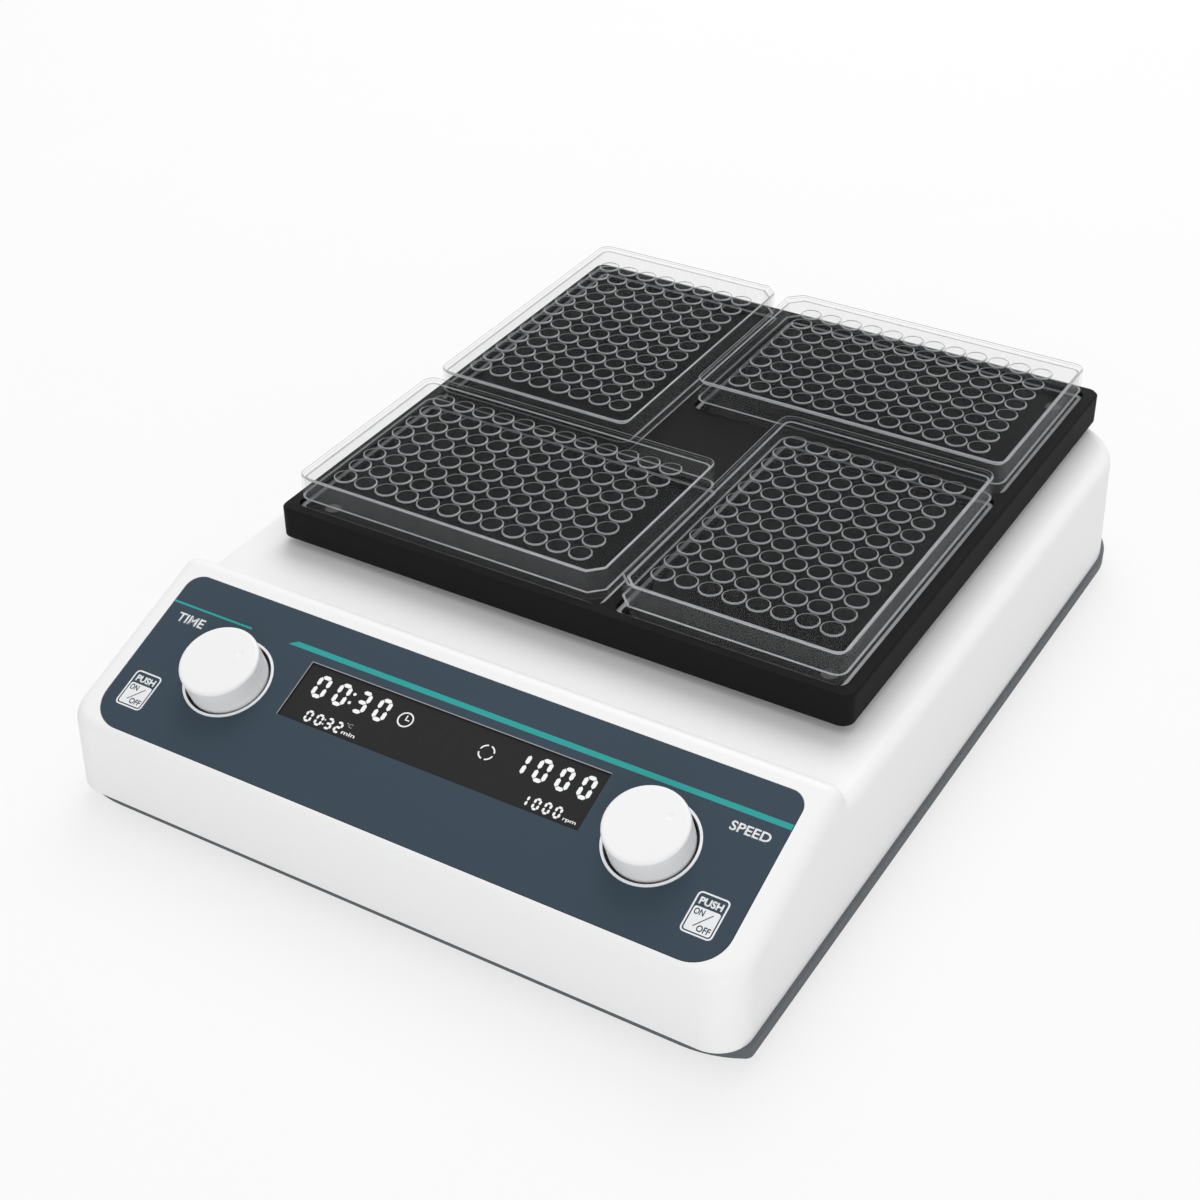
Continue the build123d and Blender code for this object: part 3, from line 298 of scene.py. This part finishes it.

# %% [markdown]
# ## Clear plastic
#
# A plate of clear polystyrene is hardly seen where a wall faces the eye. What is seen is its edges:
# rims, corners and the turn of a wall, where light is gathered and sent out again. So there are
# three finishes: faces that almost vanish, walls with a little body, and mid grey edges, which show
# against the black tray and against a white background. The mid grey of the edges is a painted
# highlight, in place of the light that they gather. All three let more light through where they face
# the eye and less where they turn away, and that added grey where they turn away is a painted
# reflection.

# %% Three clear finishes
def clear(name, body, turned, tint, gloss=0.12):
    """Clear plastic: how much of it shows face on, and how much more where it turns away, as a painted
    reflection.
    """
    made = Finish(name)
    facing = made.node("ShaderNodeLayerWeight", None, {"Blend": 0.35}, output="Facing")
    flow = made.noise(3.0, 2.0)
    # painted reflection: opacity and grey rise where the surface turns from the eye
    seen = body + facing ** 3.0 * turned + (flow - 0.5) * (body * 0.5)
    return made.finish(Base_Color=(*tint, 1.0), Roughness=gloss + flow * 0.08, Alpha=seen,
                       Specular_IOR_Level=0.5, Normal=made.bump(flow, 0.01))


CLEAR_FACE = clear("clear_face", body=0.004, turned=0.03, tint=(0.6, 0.62, 0.64))
CLEAR_WALL = clear("clear_wall", body=0.03, turned=0.22, tint=(0.42, 0.43, 0.44))
# painted highlight: rims and edges are mid grey and mostly opaque, in place of the light they catch
CLEAR_EDGE_HIGHLIGHT = clear("clear_edge_highlight", body=0.7, turned=0.25, tint=(0.38, 0.39, 0.40))
CLEAR = (CLEAR_FACE, CLEAR_WALL, CLEAR_EDGE_HIGHLIGHT)
# the third finish, for rims and edges, is the painted highlight
FACE, WALL, HIGHLIGHT_EDGE = range(3)

# %% [markdown]
# ## From a bmesh to a piece
#
# Each new piece is shaped in millimetres near the origin. This one function places it, scales it to
# metres, tells the frame which body it rides on, and hides the node that it stands for.

# %% Finish a piece
def piece(name, form, place, materials, body, replaces=(), smooth_angle=None):
    """Make a named object from a bmesh in millimetres."""
    bmesh.ops.transform(form, matrix=Matrix.Scale(MM, 4) @ place, verts=form.verts)
    mesh = bpy.data.meshes.new(name)
    form.to_mesh(mesh)
    form.free()
    for material in materials:
        mesh.materials.append(material)
    made = bpy.data.objects.new(name, mesh)
    bpy.context.scene.collection.objects.link(made)
    if smooth_angle is not None:
        mesh.shade_smooth()
        mesh.set_sharp_from_angle(angle=smooth_angle)
    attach(made, body)
    if replaces:
        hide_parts(*replaces)
    return made


def select(form, kind, test):
    """The faces, edges or vertices of a bmesh that pass a test."""
    return [part for part in getattr(form, kind) if test(part)]


# %% [markdown]
# ## A microplate
#
# The standard fixes the outside: a foot flange of 127.76 by 85.48 mm, and wells 9 mm apart. Above
# the flange the wall steps in and rises to a deck that joins the tops of 96 tubes. One corner is
# cut, which marks the first well.
#
# A well is a profile turned round its own axis, so `spin` makes it. The deck round it is a 9 mm
# square with the rim's circle in it. Twelve steps put a vertex on each corner of that square, so
# neighbours meet exactly and a merge joins all 96.

# %% Plate sizes
PLATE_LENGTH = 127.76
PLATE_WIDTH = 85.48
PLATE_HEIGHT = 14.35
FLANGE_HEIGHT = 2.5
PLATE_STEP = 1.7
PLATE_CORNER = 3.2
NOTCH = 5.0
PITCH = 9.0
COLUMNS = 12
ROWS = 8
WELL_STEPS = 12
WELL_INNER = 3.45
WELL_FLOOR = 3.15
RIM_INNER = 3.8
RIM_OUTER = 4.3
WELL_DEPTH = 10.7
RIM_RISE = 0.6
RIM_LIP = 0.1
RIM_FALL = 0.25
RIM_BAND = 0.5
WELL_CENTRE = 0.02
WALL_THICKNESS = 0.9


def outline(length, width, corner, notch=0.0):
    """A flat face: a rectangle with three round corners, and the fourth cut or round."""
    form = bmesh.new()
    bmesh.ops.create_grid(form, x_segments=1, y_segments=1, size=0.5)
    bmesh.ops.scale(form, vec=(length, width, 1.0), verts=form.verts)
    cut = select(form, "verts", lambda v: notch and v.co.x > 0 and v.co.y < 0)
    round_ones = [v for v in form.verts if v not in cut]
    bmesh.ops.bevel(form, geom=round_ones, offset=corner, segments=4, profile=0.5, affect="VERTICES",
                    material=-1)
    if notch:
        cut = select(form, "verts", lambda v: (v.co - Vector((length / 2, -width / 2, 0))).length < 1e-4)
        bmesh.ops.bevel(form, geom=cut, offset=notch, segments=1, profile=0.5, affect="VERTICES",
                        material=-1)
    return form


def well():
    """One well with its rim and its square of deck, on the Z axis."""
    form = bmesh.new()
    start = Matrix.Rotation(pi / WELL_STEPS, 3, "Z")
    bottom, deck = PLATE_HEIGHT - WELL_DEPTH, PLATE_HEIGHT - RIM_RISE
    profile = [(WELL_CENTRE, bottom), (WELL_FLOOR, bottom), (WELL_INNER, PLATE_HEIGHT - RIM_LIP),
               (RIM_INNER, PLATE_HEIGHT), (RIM_OUTER, PLATE_HEIGHT - RIM_FALL), (RIM_OUTER, deck),
               (PITCH / 2, deck)]
    points = [form.verts.new(start @ Vector((radius, 0, height))) for radius, height in profile]
    edges = [form.edges.new(pair) for pair in zip(points, points[1:])]
    bmesh.ops.spin(form, geom=points + edges, cent=(0, 0, 0), axis=(0, 0, 1), angle=2 * pi,
                   steps=WELL_STEPS, use_merge=True)
    for vert in select(form, "verts", lambda v: v.co.xy.length > (RIM_OUTER + PITCH / 2) / 2):
        vert.co.xy *= PITCH / 2 / max(abs(vert.co.x), abs(vert.co.y))
    for face in form.faces:
        centre = face.calc_center_median()
        radius = centre.xy.length
        rim = radius > RIM_INNER * cos(pi / WELL_STEPS) and centre.z > PLATE_HEIGHT - RIM_BAND
        tube = radius < WELL_INNER and abs(face.normal.z) < 0.5
        # rims take the painted highlight, tube walls the clear wall
        face.material_index = HIGHLIGHT_EDGE if rim else WALL if tube else FACE
    return form


def well_block():
    """All the wells of a plate, merged into one deck."""
    one = bpy.data.meshes.new("well")
    pattern = well()
    pattern.to_mesh(one)
    pattern.free()
    form = bmesh.new()
    for column in range(COLUMNS):
        for row in range(ROWS):
            first = len(form.verts)
            form.from_mesh(one)
            form.verts.ensure_lookup_table()
            shift = ((column - (COLUMNS - 1) / 2) * PITCH, (row - (ROWS - 1) / 2) * PITCH, 0.0)
            bmesh.ops.translate(form, vec=shift, verts=form.verts[first:])
    bpy.data.meshes.remove(one)
    bmesh.ops.remove_doubles(form, verts=form.verts, dist=0.01)
    return form


def sleeve(form, low, high, thickness, edge_low, edge_high):
    """Raise a flat outline into a wall of the given thickness, with its top or bottom edge, when asked, in
    the painted-highlight finish.
    """
    bmesh.ops.translate(form, vec=(0, 0, low), verts=form.verts)
    flat = form.faces[:]
    raised = bmesh.ops.extrude_face_region(form, geom=flat)
    top = [part for part in raised["geom"] if isinstance(part, bmesh.types.BMVert)]
    bmesh.ops.translate(form, vec=(0, 0, high - low), verts=top)
    caps = select(form, "faces", lambda f: abs(f.normal.z) > 0.5)
    bmesh.ops.delete(form, geom=caps, context="FACES_ONLY")
    bmesh.ops.recalc_face_normals(form, faces=form.faces)
    bmesh.ops.solidify(form, geom=form.faces[:], thickness=thickness)
    for face in form.faces:
        face.normal_update()
        upright = abs(face.normal.z) < 0.5
        at_top = face.calc_center_median().z > (low + high) / 2
        shown_edge = edge_high if at_top else edge_low
        # flat edge faces, when asked, take the painted highlight; upright faces take the clear wall
        face.material_index = WALL if upright or not shown_edge else HIGHLIGHT_EDGE
    return form


def join(target, other):
    """Add one bmesh to another."""
    mesh = bpy.data.meshes.new("part")
    other.to_mesh(mesh)
    other.free()
    target.from_mesh(mesh)
    bpy.data.meshes.remove(mesh)


def plate_form():
    """A whole microplate, standing on z = 0."""
    form = well_block()
    deck = PLATE_HEIGHT - RIM_RISE
    length = PLATE_LENGTH - 2 * PLATE_STEP
    width = PLATE_WIDTH - 2 * PLATE_STEP
    border = outline(length - WALL_THICKNESS, width - WALL_THICKNESS, PLATE_CORNER, NOTCH)
    bmesh.ops.translate(border, vec=(0, 0, deck), verts=border.verts)
    bmesh.ops.delete(border, geom=border.faces[:], context="FACES_ONLY")
    bmesh.ops.create_grid(border, x_segments=1, y_segments=1, size=0.5,
                          matrix=Matrix.Translation((0, 0, deck)) @ Matrix.Diagonal(
                              (COLUMNS * PITCH, ROWS * PITCH, 1.0, 1.0)))
    bmesh.ops.delete(border, geom=border.faces[:], context="FACES_ONLY")
    bmesh.ops.triangle_fill(border, use_beauty=True, edges=border.edges[:])
    join(form, border)
    join(form, sleeve(outline(length, width, PLATE_CORNER, NOTCH), FLANGE_HEIGHT, PLATE_HEIGHT,
                      WALL_THICKNESS, False, True))
    join(form, sleeve(outline(PLATE_LENGTH, PLATE_WIDTH, PLATE_CORNER), 0.0, FLANGE_HEIGHT,
                      PLATE_STEP, False, True))
    return form


# %% [markdown]
# ## A lid
#
# The lid is a shallow box turned upside down. Its outline face is pulled down to a skirt, the top
# edge is bevelled, and the shell gets its thickness. It clears the plate's wall by 0.35 mm and
# covers the upper half of it.

# %% Lid
LID_CLEARANCE = 0.35
LID_WALL = 0.9
LID_TOP = 1.2
LID_AIR = 0.7
LID_HEIGHT = 9.3
LID_BEVEL = 0.5


def lid_form():
    """A whole lid, where it rests on a plate that stands on z = 0."""
    grow = 2 * (LID_CLEARANCE + LID_WALL)
    top = PLATE_HEIGHT + LID_AIR + LID_TOP
    form = outline(PLATE_LENGTH - 2 * PLATE_STEP + grow, PLATE_WIDTH - 2 * PLATE_STEP + grow,
                   PLATE_CORNER + grow / 2, NOTCH)
    bmesh.ops.translate(form, vec=(0, 0, top - LID_HEIGHT), verts=form.verts)
    flat = form.faces[:]
    raised = bmesh.ops.extrude_face_region(form, geom=flat)
    upper = [part for part in raised["geom"] if isinstance(part, bmesh.types.BMVert)]
    bmesh.ops.translate(form, vec=(0, 0, LID_HEIGHT), verts=upper)
    low = select(form, "faces", lambda f: f.calc_center_median().z < top - LID_HEIGHT + 0.01)
    bmesh.ops.delete(form, geom=low, context="FACES_ONLY")
    bmesh.ops.recalc_face_normals(form, faces=form.faces)
    rim = select(form, "edges", lambda e: all(v.co.z > top - 0.01 for v in e.verts))
    bevelled = bmesh.ops.bevel(form, geom=rim, offset=LID_BEVEL, segments=2, profile=0.5, affect="EDGES",
                               material=-1)
    turned = set(bevelled["faces"])
    for face in form.faces:
        # the bevelled top edge takes the painted highlight
        face.material_index = HIGHLIGHT_EDGE if face in turned else WALL if abs(face.normal.z) < 0.5 else FACE
    bmesh.ops.solidify(form, geom=form.faces[:], thickness=LID_WALL)
    for face in form.faces:
        face.normal_update()
        # the faces at the foot of the skirt take the painted highlight too
        if face.normal.z < -0.5 and face.calc_center_median().z < top - LID_HEIGHT + 0.1:
            face.material_index = HIGHLIGHT_EDGE
    return form


# %% [markdown]
# ## Four plates, round the middle like a pinwheel
#
# The nodes already say where each plate is, and their boxes, long in X or in Y, show which way it
# lies. Each plate stands at the middle and the foot of its node's box and is turned a quarter turn
# more than the one before; every second plate is also set down the other way round, so its cut
# corner is opposite.

# %% Place the plates and their lids
for number in range(1, 5):
    low, high = box(f"microplate_{number}")
    turn = radians(90 * (number - 1) + (180 if number % 2 == 0 else 0))
    place = Matrix.Translation(((low.x + high.x) / 2, (low.y + high.y) / 2, low.z))
    place = place @ Matrix.Rotation(turn, 4, "Z")
    piece(f"plate_{number}", plate_form(), place, CLEAR, f"microplate_{number}",
          (f"microplate_{number}",), smooth_angle=radians(40))
    piece(f"cover_lid_{number}", lid_form(), place, CLEAR, f"lid_{number}",
          (f"lid_{number}",), smooth_angle=radians(40))
print("plates and lids placed")

# %% [markdown]
# ## The console's own frame
#
# Everything printed on the console is drawn flat, in millimetres to the right of and up the slope
# from the middle of the overlay, and then laid on it. The overlay is a thin sheet, so the middle of
# its box plus half its thickness along the slope's normal is the middle of its face.

# %% Console frame
CONSOLE_SLOPE = radians(20.14)
OVERLAY_THICKNESS = 0.8
WINDOW_SINK = 0.5
PRINT_THICKNESS = 0.03

slope_turn = Matrix.Rotation(CONSOLE_SLOPE, 4, "X")
overlay_face = middle("panel_overlay") + slope_turn @ Vector((0, 0, OVERLAY_THICKNESS / 2))
CONSOLE = Matrix.Translation(overlay_face) @ slope_turn
DISPLAY = CONSOLE @ Matrix.Translation((0, 0, -WINDOW_SINK))
print("console face at", overlay_face)

# %% [markdown]
# ## Ink
#
# Ink is a thin film with its own gloss, so the prints are real, very thin meshes that stand 0.03 mm
# proud. The display's figures are lit, so their finish adds a little of its own light.

# %% Ink finishes
def ink(name, colour, gloss=0.5, glow=0.0):
    """Printed ink, a little uneven, or a lit figure of the display when it glows."""
    made = Finish(name)
    coverage = made.noise(0.5, 3.0)
    worn = tuple(part * 0.93 for part in colour)
    return made.finish(Base_Color=made.mix(coverage, worn, colour), Roughness=gloss + coverage * 0.1,
                       Emission_Color=(*colour, 1.0), Emission_Strength=glow, Specular_IOR_Level=0.2,
                       Normal=made.bump(coverage, 0.002))


TEAL_INK = ink("teal_ink", shade(46, 158, 155))
WHITE_INK = ink("white_ink", shade(236, 238, 240))
GREY_INK = ink("grey_ink", shade(150, 153, 156))
DARK_INK = ink("dark_ink", shade(60, 70, 78))
LIT = ink("lit_figure", shade(225, 226, 226), 0.4, 0.25)
DIM = ink("dim_figure", shade(150, 150, 150), 0.4, 0.1)


def printed(name, form, material, place=CONSOLE, body="root"):
    """Give a flat drawing its thickness and lay it on a face."""
    flat = form.faces[:]
    raised = bmesh.ops.extrude_face_region(form, geom=flat, use_keep_orig=True)
    top = [part for part in raised["geom"] if isinstance(part, bmesh.types.BMVert)]
    bmesh.ops.translate(form, vec=(0, 0, PRINT_THICKNESS), verts=top)
    bmesh.ops.recalc_face_normals(form, faces=form.faces)
    return piece(name, form, place, [material], body)


# %% [markdown]
# ## The stripe
#
# A teal stripe runs along the top of the overlay. It starts with a slanted end right of the left
# knob. A shorter and thinner line fills the bare place at its left.

# %% Stripe
STRIPE_UP = 20.4
STRIPE_WIDTH = 2.0
STRIPE_SLANT = 3.0
STRIPE_LEFT = -67.0
SHORT_RIGHT = -86.0
SHORT_DROP = 0.6
SHORT_WIDTH = 0.8
OVERLAY_HALF = 119.9


def line(left, right, up, width, slant=0.0):
    """A straight line across the console, with its left end slanted if asked."""
    form = bmesh.new()
    half = width / 2
    corners_at = [(left - slant, up - half), (right, up - half), (right, up + half), (left, up + half)]
    form.faces.new([form.verts.new((x, y, 0)) for x, y in corners_at])
    return form


printed("stripe", line(STRIPE_LEFT, OVERLAY_HALF, STRIPE_UP, STRIPE_WIDTH, STRIPE_SLANT), TEAL_INK)
printed("short_stripe", line(-OVERLAY_HALF, SHORT_RIGHT, STRIPE_UP - SHORT_DROP, SHORT_WIDTH), TEAL_INK)

# %% [markdown]
# ## Words
#
# Blender's own font is close to the console's plain capitals. A text curve becomes a mesh first, and
# then the mesh is scaled to the width and height that the word really has. Each word's rectangle
# is its left, right, low and high edge.

# %% Words on the console
TIME_BOX = (-114.8, -103.4, 12.8, 16.5)
SPEED_BOX = (101.9, 115.6, 12.5, 16.0)
NORMAL, BOLD, THIN = 0.02, 0.04, 0.0


def word(text, left, right, low, high, weight=NORMAL):
    """A word as a flat drawing that fills a rectangle."""
    curve = bpy.data.curves.new("word", "FONT")
    curve.body = text
    curve.offset = weight
    curve.resolution_u = 4
    holder = bpy.data.objects.new("word", curve)
    mesh = bpy.data.meshes.new_from_object(holder)
    form = bmesh.new()
    form.from_mesh(mesh)
    bpy.data.objects.remove(holder)
    bpy.data.curves.remove(curve)
    bpy.data.meshes.remove(mesh)
    bmesh.ops.remove_doubles(form, verts=form.verts, dist=1e-5)
    xs = [vert.co.x for vert in form.verts]
    ys = [vert.co.y for vert in form.verts]
    grow = ((right - left) / (max(xs) - min(xs)), (high - low) / (max(ys) - min(ys)), 1.0)
    bmesh.ops.translate(form, vec=(-min(xs), -min(ys), 0), verts=form.verts)
    bmesh.ops.scale(form, vec=grow, verts=form.verts)
    bmesh.ops.translate(form, vec=(left, low, 0), verts=form.verts)
    return form


printed("word_time", word("TIME", *TIME_BOX), WHITE_INK)
printed("word_speed", word("SPEED", *SPEED_BOX), WHITE_INK)

# %% [markdown]
# ## The push marks
#
# Beside each knob a small label says what a push does. It has a round outline, a dark band with a
# white word, and a white field with two dark words and a stroke between them.

# %% Push marks
MARK_WIDTH = 10.9
MARK_HEIGHT = 14.4
MARK_UP = -16.7
MARK_CORNER = 1.6
MARK_LINE = 0.55
MARK_GAP = 0.45
MARK_BAND = 4.6
MARK_ACROSS = {"left": -109.1, "right": 109.05}
PUSH_HALF = MARK_WIDTH / 2 - 1.5
PUSH_BOX = (-PUSH_HALF, PUSH_HALF, MARK_HEIGHT / 2 - 4.3, MARK_HEIGHT / 2 - 1.7)
ON_BOX = (-3.9, -0.5, -0.6, 1.6)
OFF_BOX = (-0.6, 3.9, -5.6, -3.4)
SLASH = ((-2.2, -4.4), (-1.8, -4.4), (2.6, 0.9), (2.2, 0.9))


def frame_line(width, height, corner, thickness):
    """A closed line round a rectangle with round corners."""
    form = outline(width, height, corner)
    inner = bmesh.ops.inset_region(form, faces=form.faces[:], thickness=thickness, use_even_offset=True,
                                   use_boundary=True)
    ring = set(inner["faces"])
    bmesh.ops.delete(form, geom=[face for face in form.faces if face not in ring], context="FACES")
    return form


for side, across in MARK_ACROSS.items():
    centre = CONSOLE @ Matrix.Translation((across, MARK_UP, 0))
    inner = MARK_LINE + MARK_GAP
    white = frame_line(MARK_WIDTH, MARK_HEIGHT, MARK_CORNER, MARK_LINE)
    field = outline(MARK_WIDTH - 2 * inner, MARK_HEIGHT - MARK_BAND - inner - MARK_GAP, MARK_CORNER / 2)
    bmesh.ops.translate(field, vec=(0, (-MARK_BAND + inner - MARK_GAP) / 2, 0), verts=field.verts)
    join(white, field)
    join(white, word("PUSH", *PUSH_BOX, BOLD))
    printed(f"push_mark_{side}", white, WHITE_INK, centre)
    dark = word("ON", *ON_BOX)
    join(dark, word("OFF", *OFF_BOX))
    slash = bmesh.new()
    slash.faces.new([slash.verts.new((x, y, 0)) for x, y in SLASH])
    join(dark, slash)
    printed(f"push_words_{side}", dark, DARK_INK, centre @ Matrix.Translation((0, 0, PRINT_THICKNESS)))

# %% [markdown]
# ## Figures of the display
#
# The display shows its numbers in seven segments. A segment is a bar with pointed ends, and a table
# says which of the seven each figure lights.

# %% Seven segments
SEGMENTS = {
    "a": ((0, 1), (1, 1)), "b": ((1, 1), (1, 0.5)), "c": ((1, 0.5), (1, 0)), "d": ((0, 0), (1, 0)),
    "e": ((0, 0.5), (0, 0)), "f": ((0, 1), (0, 0.5)), "g": ((0, 0.5), (1, 0.5)),
}
SEGMENT_GAP = 0.12    # share of the stroke left open at each end of a bar
LIT_SEGMENTS = {"0": "abcdef", "1": "bc", "2": "abged", "3": "abgcd"}


def figure(form, digit, left, right, low, high, stroke):
    """One seven-segment figure in a rectangle, as flat bars."""
    half = stroke / 2
    wide, tall = right - left - stroke, high - low - stroke
    for name in LIT_SEGMENTS[digit]:
        ends = [Vector((left + half + x * wide, low + half + y * tall, 0)) for x, y in SEGMENTS[name]]
        along = (ends[1] - ends[0]).normalized()
        across = Vector((-along.y, along.x, 0)) * half
        near = ends[0] + along * stroke * SEGMENT_GAP
        far = ends[1] - along * stroke * SEGMENT_GAP
        turn = along * half
        points = [near, near + turn + across, far - turn + across, far, far - turn - across,
                  near + turn - across]
        form.faces.new([form.verts.new(point) for point in points])


def number(digits, edges, low, high, stroke):
    """Several figures, each between its own two edges."""
    form = bmesh.new()
    for digit, (left, right) in zip(digits, edges):
        figure(form, digit, left, right, low, high, stroke)
    return form


def dots(form, across, ups, size):
    """Round dots above each other, such as the two of a colon."""
    for up in ups:
        bmesh.ops.create_circle(form, cap_ends=True, segments=12, radius=size,
                                matrix=Matrix.Translation((across, up, 0)))


BIG_LEFT = [(-51.7, -46.6), (-43.3, -38.3), (-35.0, -30.1), (-26.9, -22.0)]
BIG_RIGHT = [(30.2, 32.0), (35.1, 40.0), (43.4, 48.2), (51.5, 56.3)]
SMALL_LEFT = [(-48.2, -45.4), (-44.0, -41.2), (-40.0, -37.2), (-36.2, -33.4)]
SMALL_RIGHT = [(37.9, 38.9), (40.6, 43.2), (44.5, 47.1), (48.4, 51.0)]
BIG_LOW, BIG_HIGH = 4.3, 13.3
SMALL_LOW, SMALL_HIGH = -4.9, -0.4
BIG_STROKE = 1.45
SMALL_STROKE = 0.82
BIG = (BIG_LOW, BIG_HIGH, BIG_STROKE)
SMALL = (SMALL_LOW, SMALL_HIGH, SMALL_STROKE)
BIG_COLON = (-36.7, (7.1, 10.6), 0.6)
SMALL_COLON = (-40.6, (-3.5, -1.8), 0.3)
MIN_BOX = (-32.8, -27.5, -4.4, -3.0)
RPM_BOX = (52.2, 57.0, -4.9, -3.6)
DEGREE_BOX = (-31.8, -30.3, -1.4, 0.1)
DEGREE_DOT = (-32.4, (-0.1,), 0.28)

time_set = number("0030", BIG_LEFT, *BIG)
dots(time_set, *BIG_COLON)
printed("time_set", time_set, LIT, DISPLAY)
time_run = number("0032", SMALL_LEFT, *SMALL)
dots(time_run, *SMALL_COLON)
printed("time_run", time_run, LIT, DISPLAY)
printed("speed_set", number("1000", BIG_RIGHT, *BIG), LIT, DISPLAY)
printed("speed_run", number("1000", SMALL_RIGHT, *SMALL), LIT, DISPLAY)

units = word("min", *MIN_BOX)
join(units, word("rpm", *RPM_BOX))
printed("unit_words", units, LIT, DISPLAY)
degree = word("C", *DEGREE_BOX, THIN)
dots(degree, *DEGREE_DOT)
printed("degree_mark", degree, DIM, DISPLAY)

# %% [markdown]
# ## Two signs
#
# Between the numbers are a plain clock and a broken ring, which stand for time and turning. Both
# are turned from one short edge.

# %% Clock and ring
SIGN_RADIUS = 2.9
SIGN_STROKE = 0.5
CLOCK_AT = (-15.0, 8.5, 0)
TURNING_AT = (16.9, 7.9, 0)
ARCS = 4
ARC_SWEEP = 66
ARC_START = (360 / ARCS - ARC_SWEEP) / 2


def arc(form, radius, stroke, start, sweep, steps):
    """A flat stretch of ring, turned from one short edge."""
    inner, outer = [form.verts.new((cos(start) * r, sin(start) * r, 0)) for r in (radius - stroke, radius)]
    edge = form.edges.new((inner, outer))
    bmesh.ops.spin(form, geom=[inner, outer, edge], cent=(0, 0, 0), axis=(0, 0, 1), angle=sweep,
                   steps=steps, use_merge=sweep >= 2 * pi)


clock = bmesh.new()
arc(clock, SIGN_RADIUS, SIGN_STROKE, 0.0, 2 * pi, 40)
join(clock, line(-0.2, 1.5, -0.05, 0.4))
join(clock, line(-0.2, 0.2, 0.8, 1.9))
printed("clock_sign", clock, LIT, DISPLAY @ Matrix.Translation(CLOCK_AT))
turning = bmesh.new()
for count in range(ARCS):
    start = radians(360 / ARCS * count + ARC_START)
    arc(turning, SIGN_RADIUS, SIGN_STROKE, start, radians(ARC_SWEEP), 10)
printed("turning_sign", turning, LIT, DISPLAY @ Matrix.Translation(TURNING_AT))

# %% [markdown]
# ## The display's edge
#
# The overlay's opening is cut through a light film, and its cut edge shows as a thin pale line
# along the top and the left of the window.

# %% Edge of the display
WINDOW_LEFT, WINDOW_RIGHT = -57.7, 59.0
WINDOW_MIDDLE = 5.0
WINDOW_HEIGHT = 22.4
EDGE_WIDTH = 0.35

edge_line = line(WINDOW_LEFT, WINDOW_RIGHT, WINDOW_MIDDLE + WINDOW_HEIGHT / 2, EDGE_WIDTH)
join(edge_line, line(WINDOW_LEFT, WINDOW_LEFT + EDGE_WIDTH, WINDOW_MIDDLE, WINDOW_HEIGHT))
printed("window_edge", edge_line, GREY_INK, CONSOLE)

# %% [markdown]
# ## Floor, world and lamps
#
# The object stands on a plain pale floor in soft studio light. The background is white to the eye
# without more light on the object: for rays from the camera the floor is partly its own plain white,
# and its shadow stays in the rest. The world gives the even fill. A large lamp high behind the
# machine gives the tops their lead over the sides, and a smaller one at the front right lights the
# front wall.

# %% Floor
FLOOR_SIZE = 12.0
FLOOR_WHITE = 0.72

ground = Finish("floor_white")
speckle = ground.noise(60.0, 3.0)
lit = ground.node("ShaderNodeBsdfDiffuse", None, {"Color": ground.mix(speckle, (0.84,) * 3, (0.86,) * 3)})
white = ground.node("ShaderNodeEmission", None, {"Color": (1.0, 1.0, 1.0, 1.0), "Strength": 1.0})
rays = ground.node("ShaderNodeLightPath", output="Is Camera Ray")
surface = ground.node("ShaderNodeMixShader", None, {0: rays * FLOOR_WHITE, 1: lit, 2: white})
ground.node("ShaderNodeOutputMaterial", None, {"Surface": surface})

floor_form = bmesh.new()
bmesh.ops.create_grid(floor_form, x_segments=2, y_segments=2, size=FLOOR_SIZE / 2)
floor_mesh = bpy.data.meshes.new("floor")
floor_form.to_mesh(floor_mesh)
floor_form.free()
floor_mesh.materials.append(ground.material)
floor = bpy.data.objects.new("floor", floor_mesh)
bpy.context.scene.collection.objects.link(floor)

# %% World
WORLD_FILL = 0.68

world = bpy.data.worlds.new("studio")
world.use_nodes = True
world.node_tree.nodes.clear()
bpy.context.scene.world = world
sky = NodeMaker(world.node_tree)
seen = sky.node("ShaderNodeLightPath", output="Is Camera Ray")
seen = seen + sky.node("ShaderNodeLightPath", output="Is Glossy Ray")
seen = seen + sky.node("ShaderNodeLightPath", output="Is Transmission Ray")
strength = WORLD_FILL + seen * (1.0 - WORLD_FILL)
background = sky.node("ShaderNodeBackground", None, {"Color": (1.0, 1.0, 1.0, 1.0), "Strength": strength})
sky.node("ShaderNodeOutputWorld", None, {"Surface": background})

# %% Lamps
def softbox(name, at, aim, size, power):
    """A large square lamp that points at a place. Places are in metres."""
    data = bpy.data.lights.new(name, "AREA")
    data.shape = "SQUARE"
    data.size = size
    data.energy = power
    lamp = bpy.data.objects.new(name, data)
    lamp.location = at
    lamp.rotation_euler = (Vector(aim) - Vector(at)).to_track_quat("-Z", "Y").to_euler()
    bpy.context.scene.collection.objects.link(lamp)
    return lamp


softbox("back_light", (-0.3, 1.0, 1.5), (0.0, 0.0, 0.0), 1.2, 14.0)
softbox("front_light", (0.9, -1.5, 0.6), (0.0, 0.0, 0.05), 1.0, 7.0)
print("lamps set")

# %% [markdown]
# ## Colour
#
# The Standard view shows a colour as it is written.

# %% Finish
bpy.context.scene.view_settings.view_transform = "Standard"
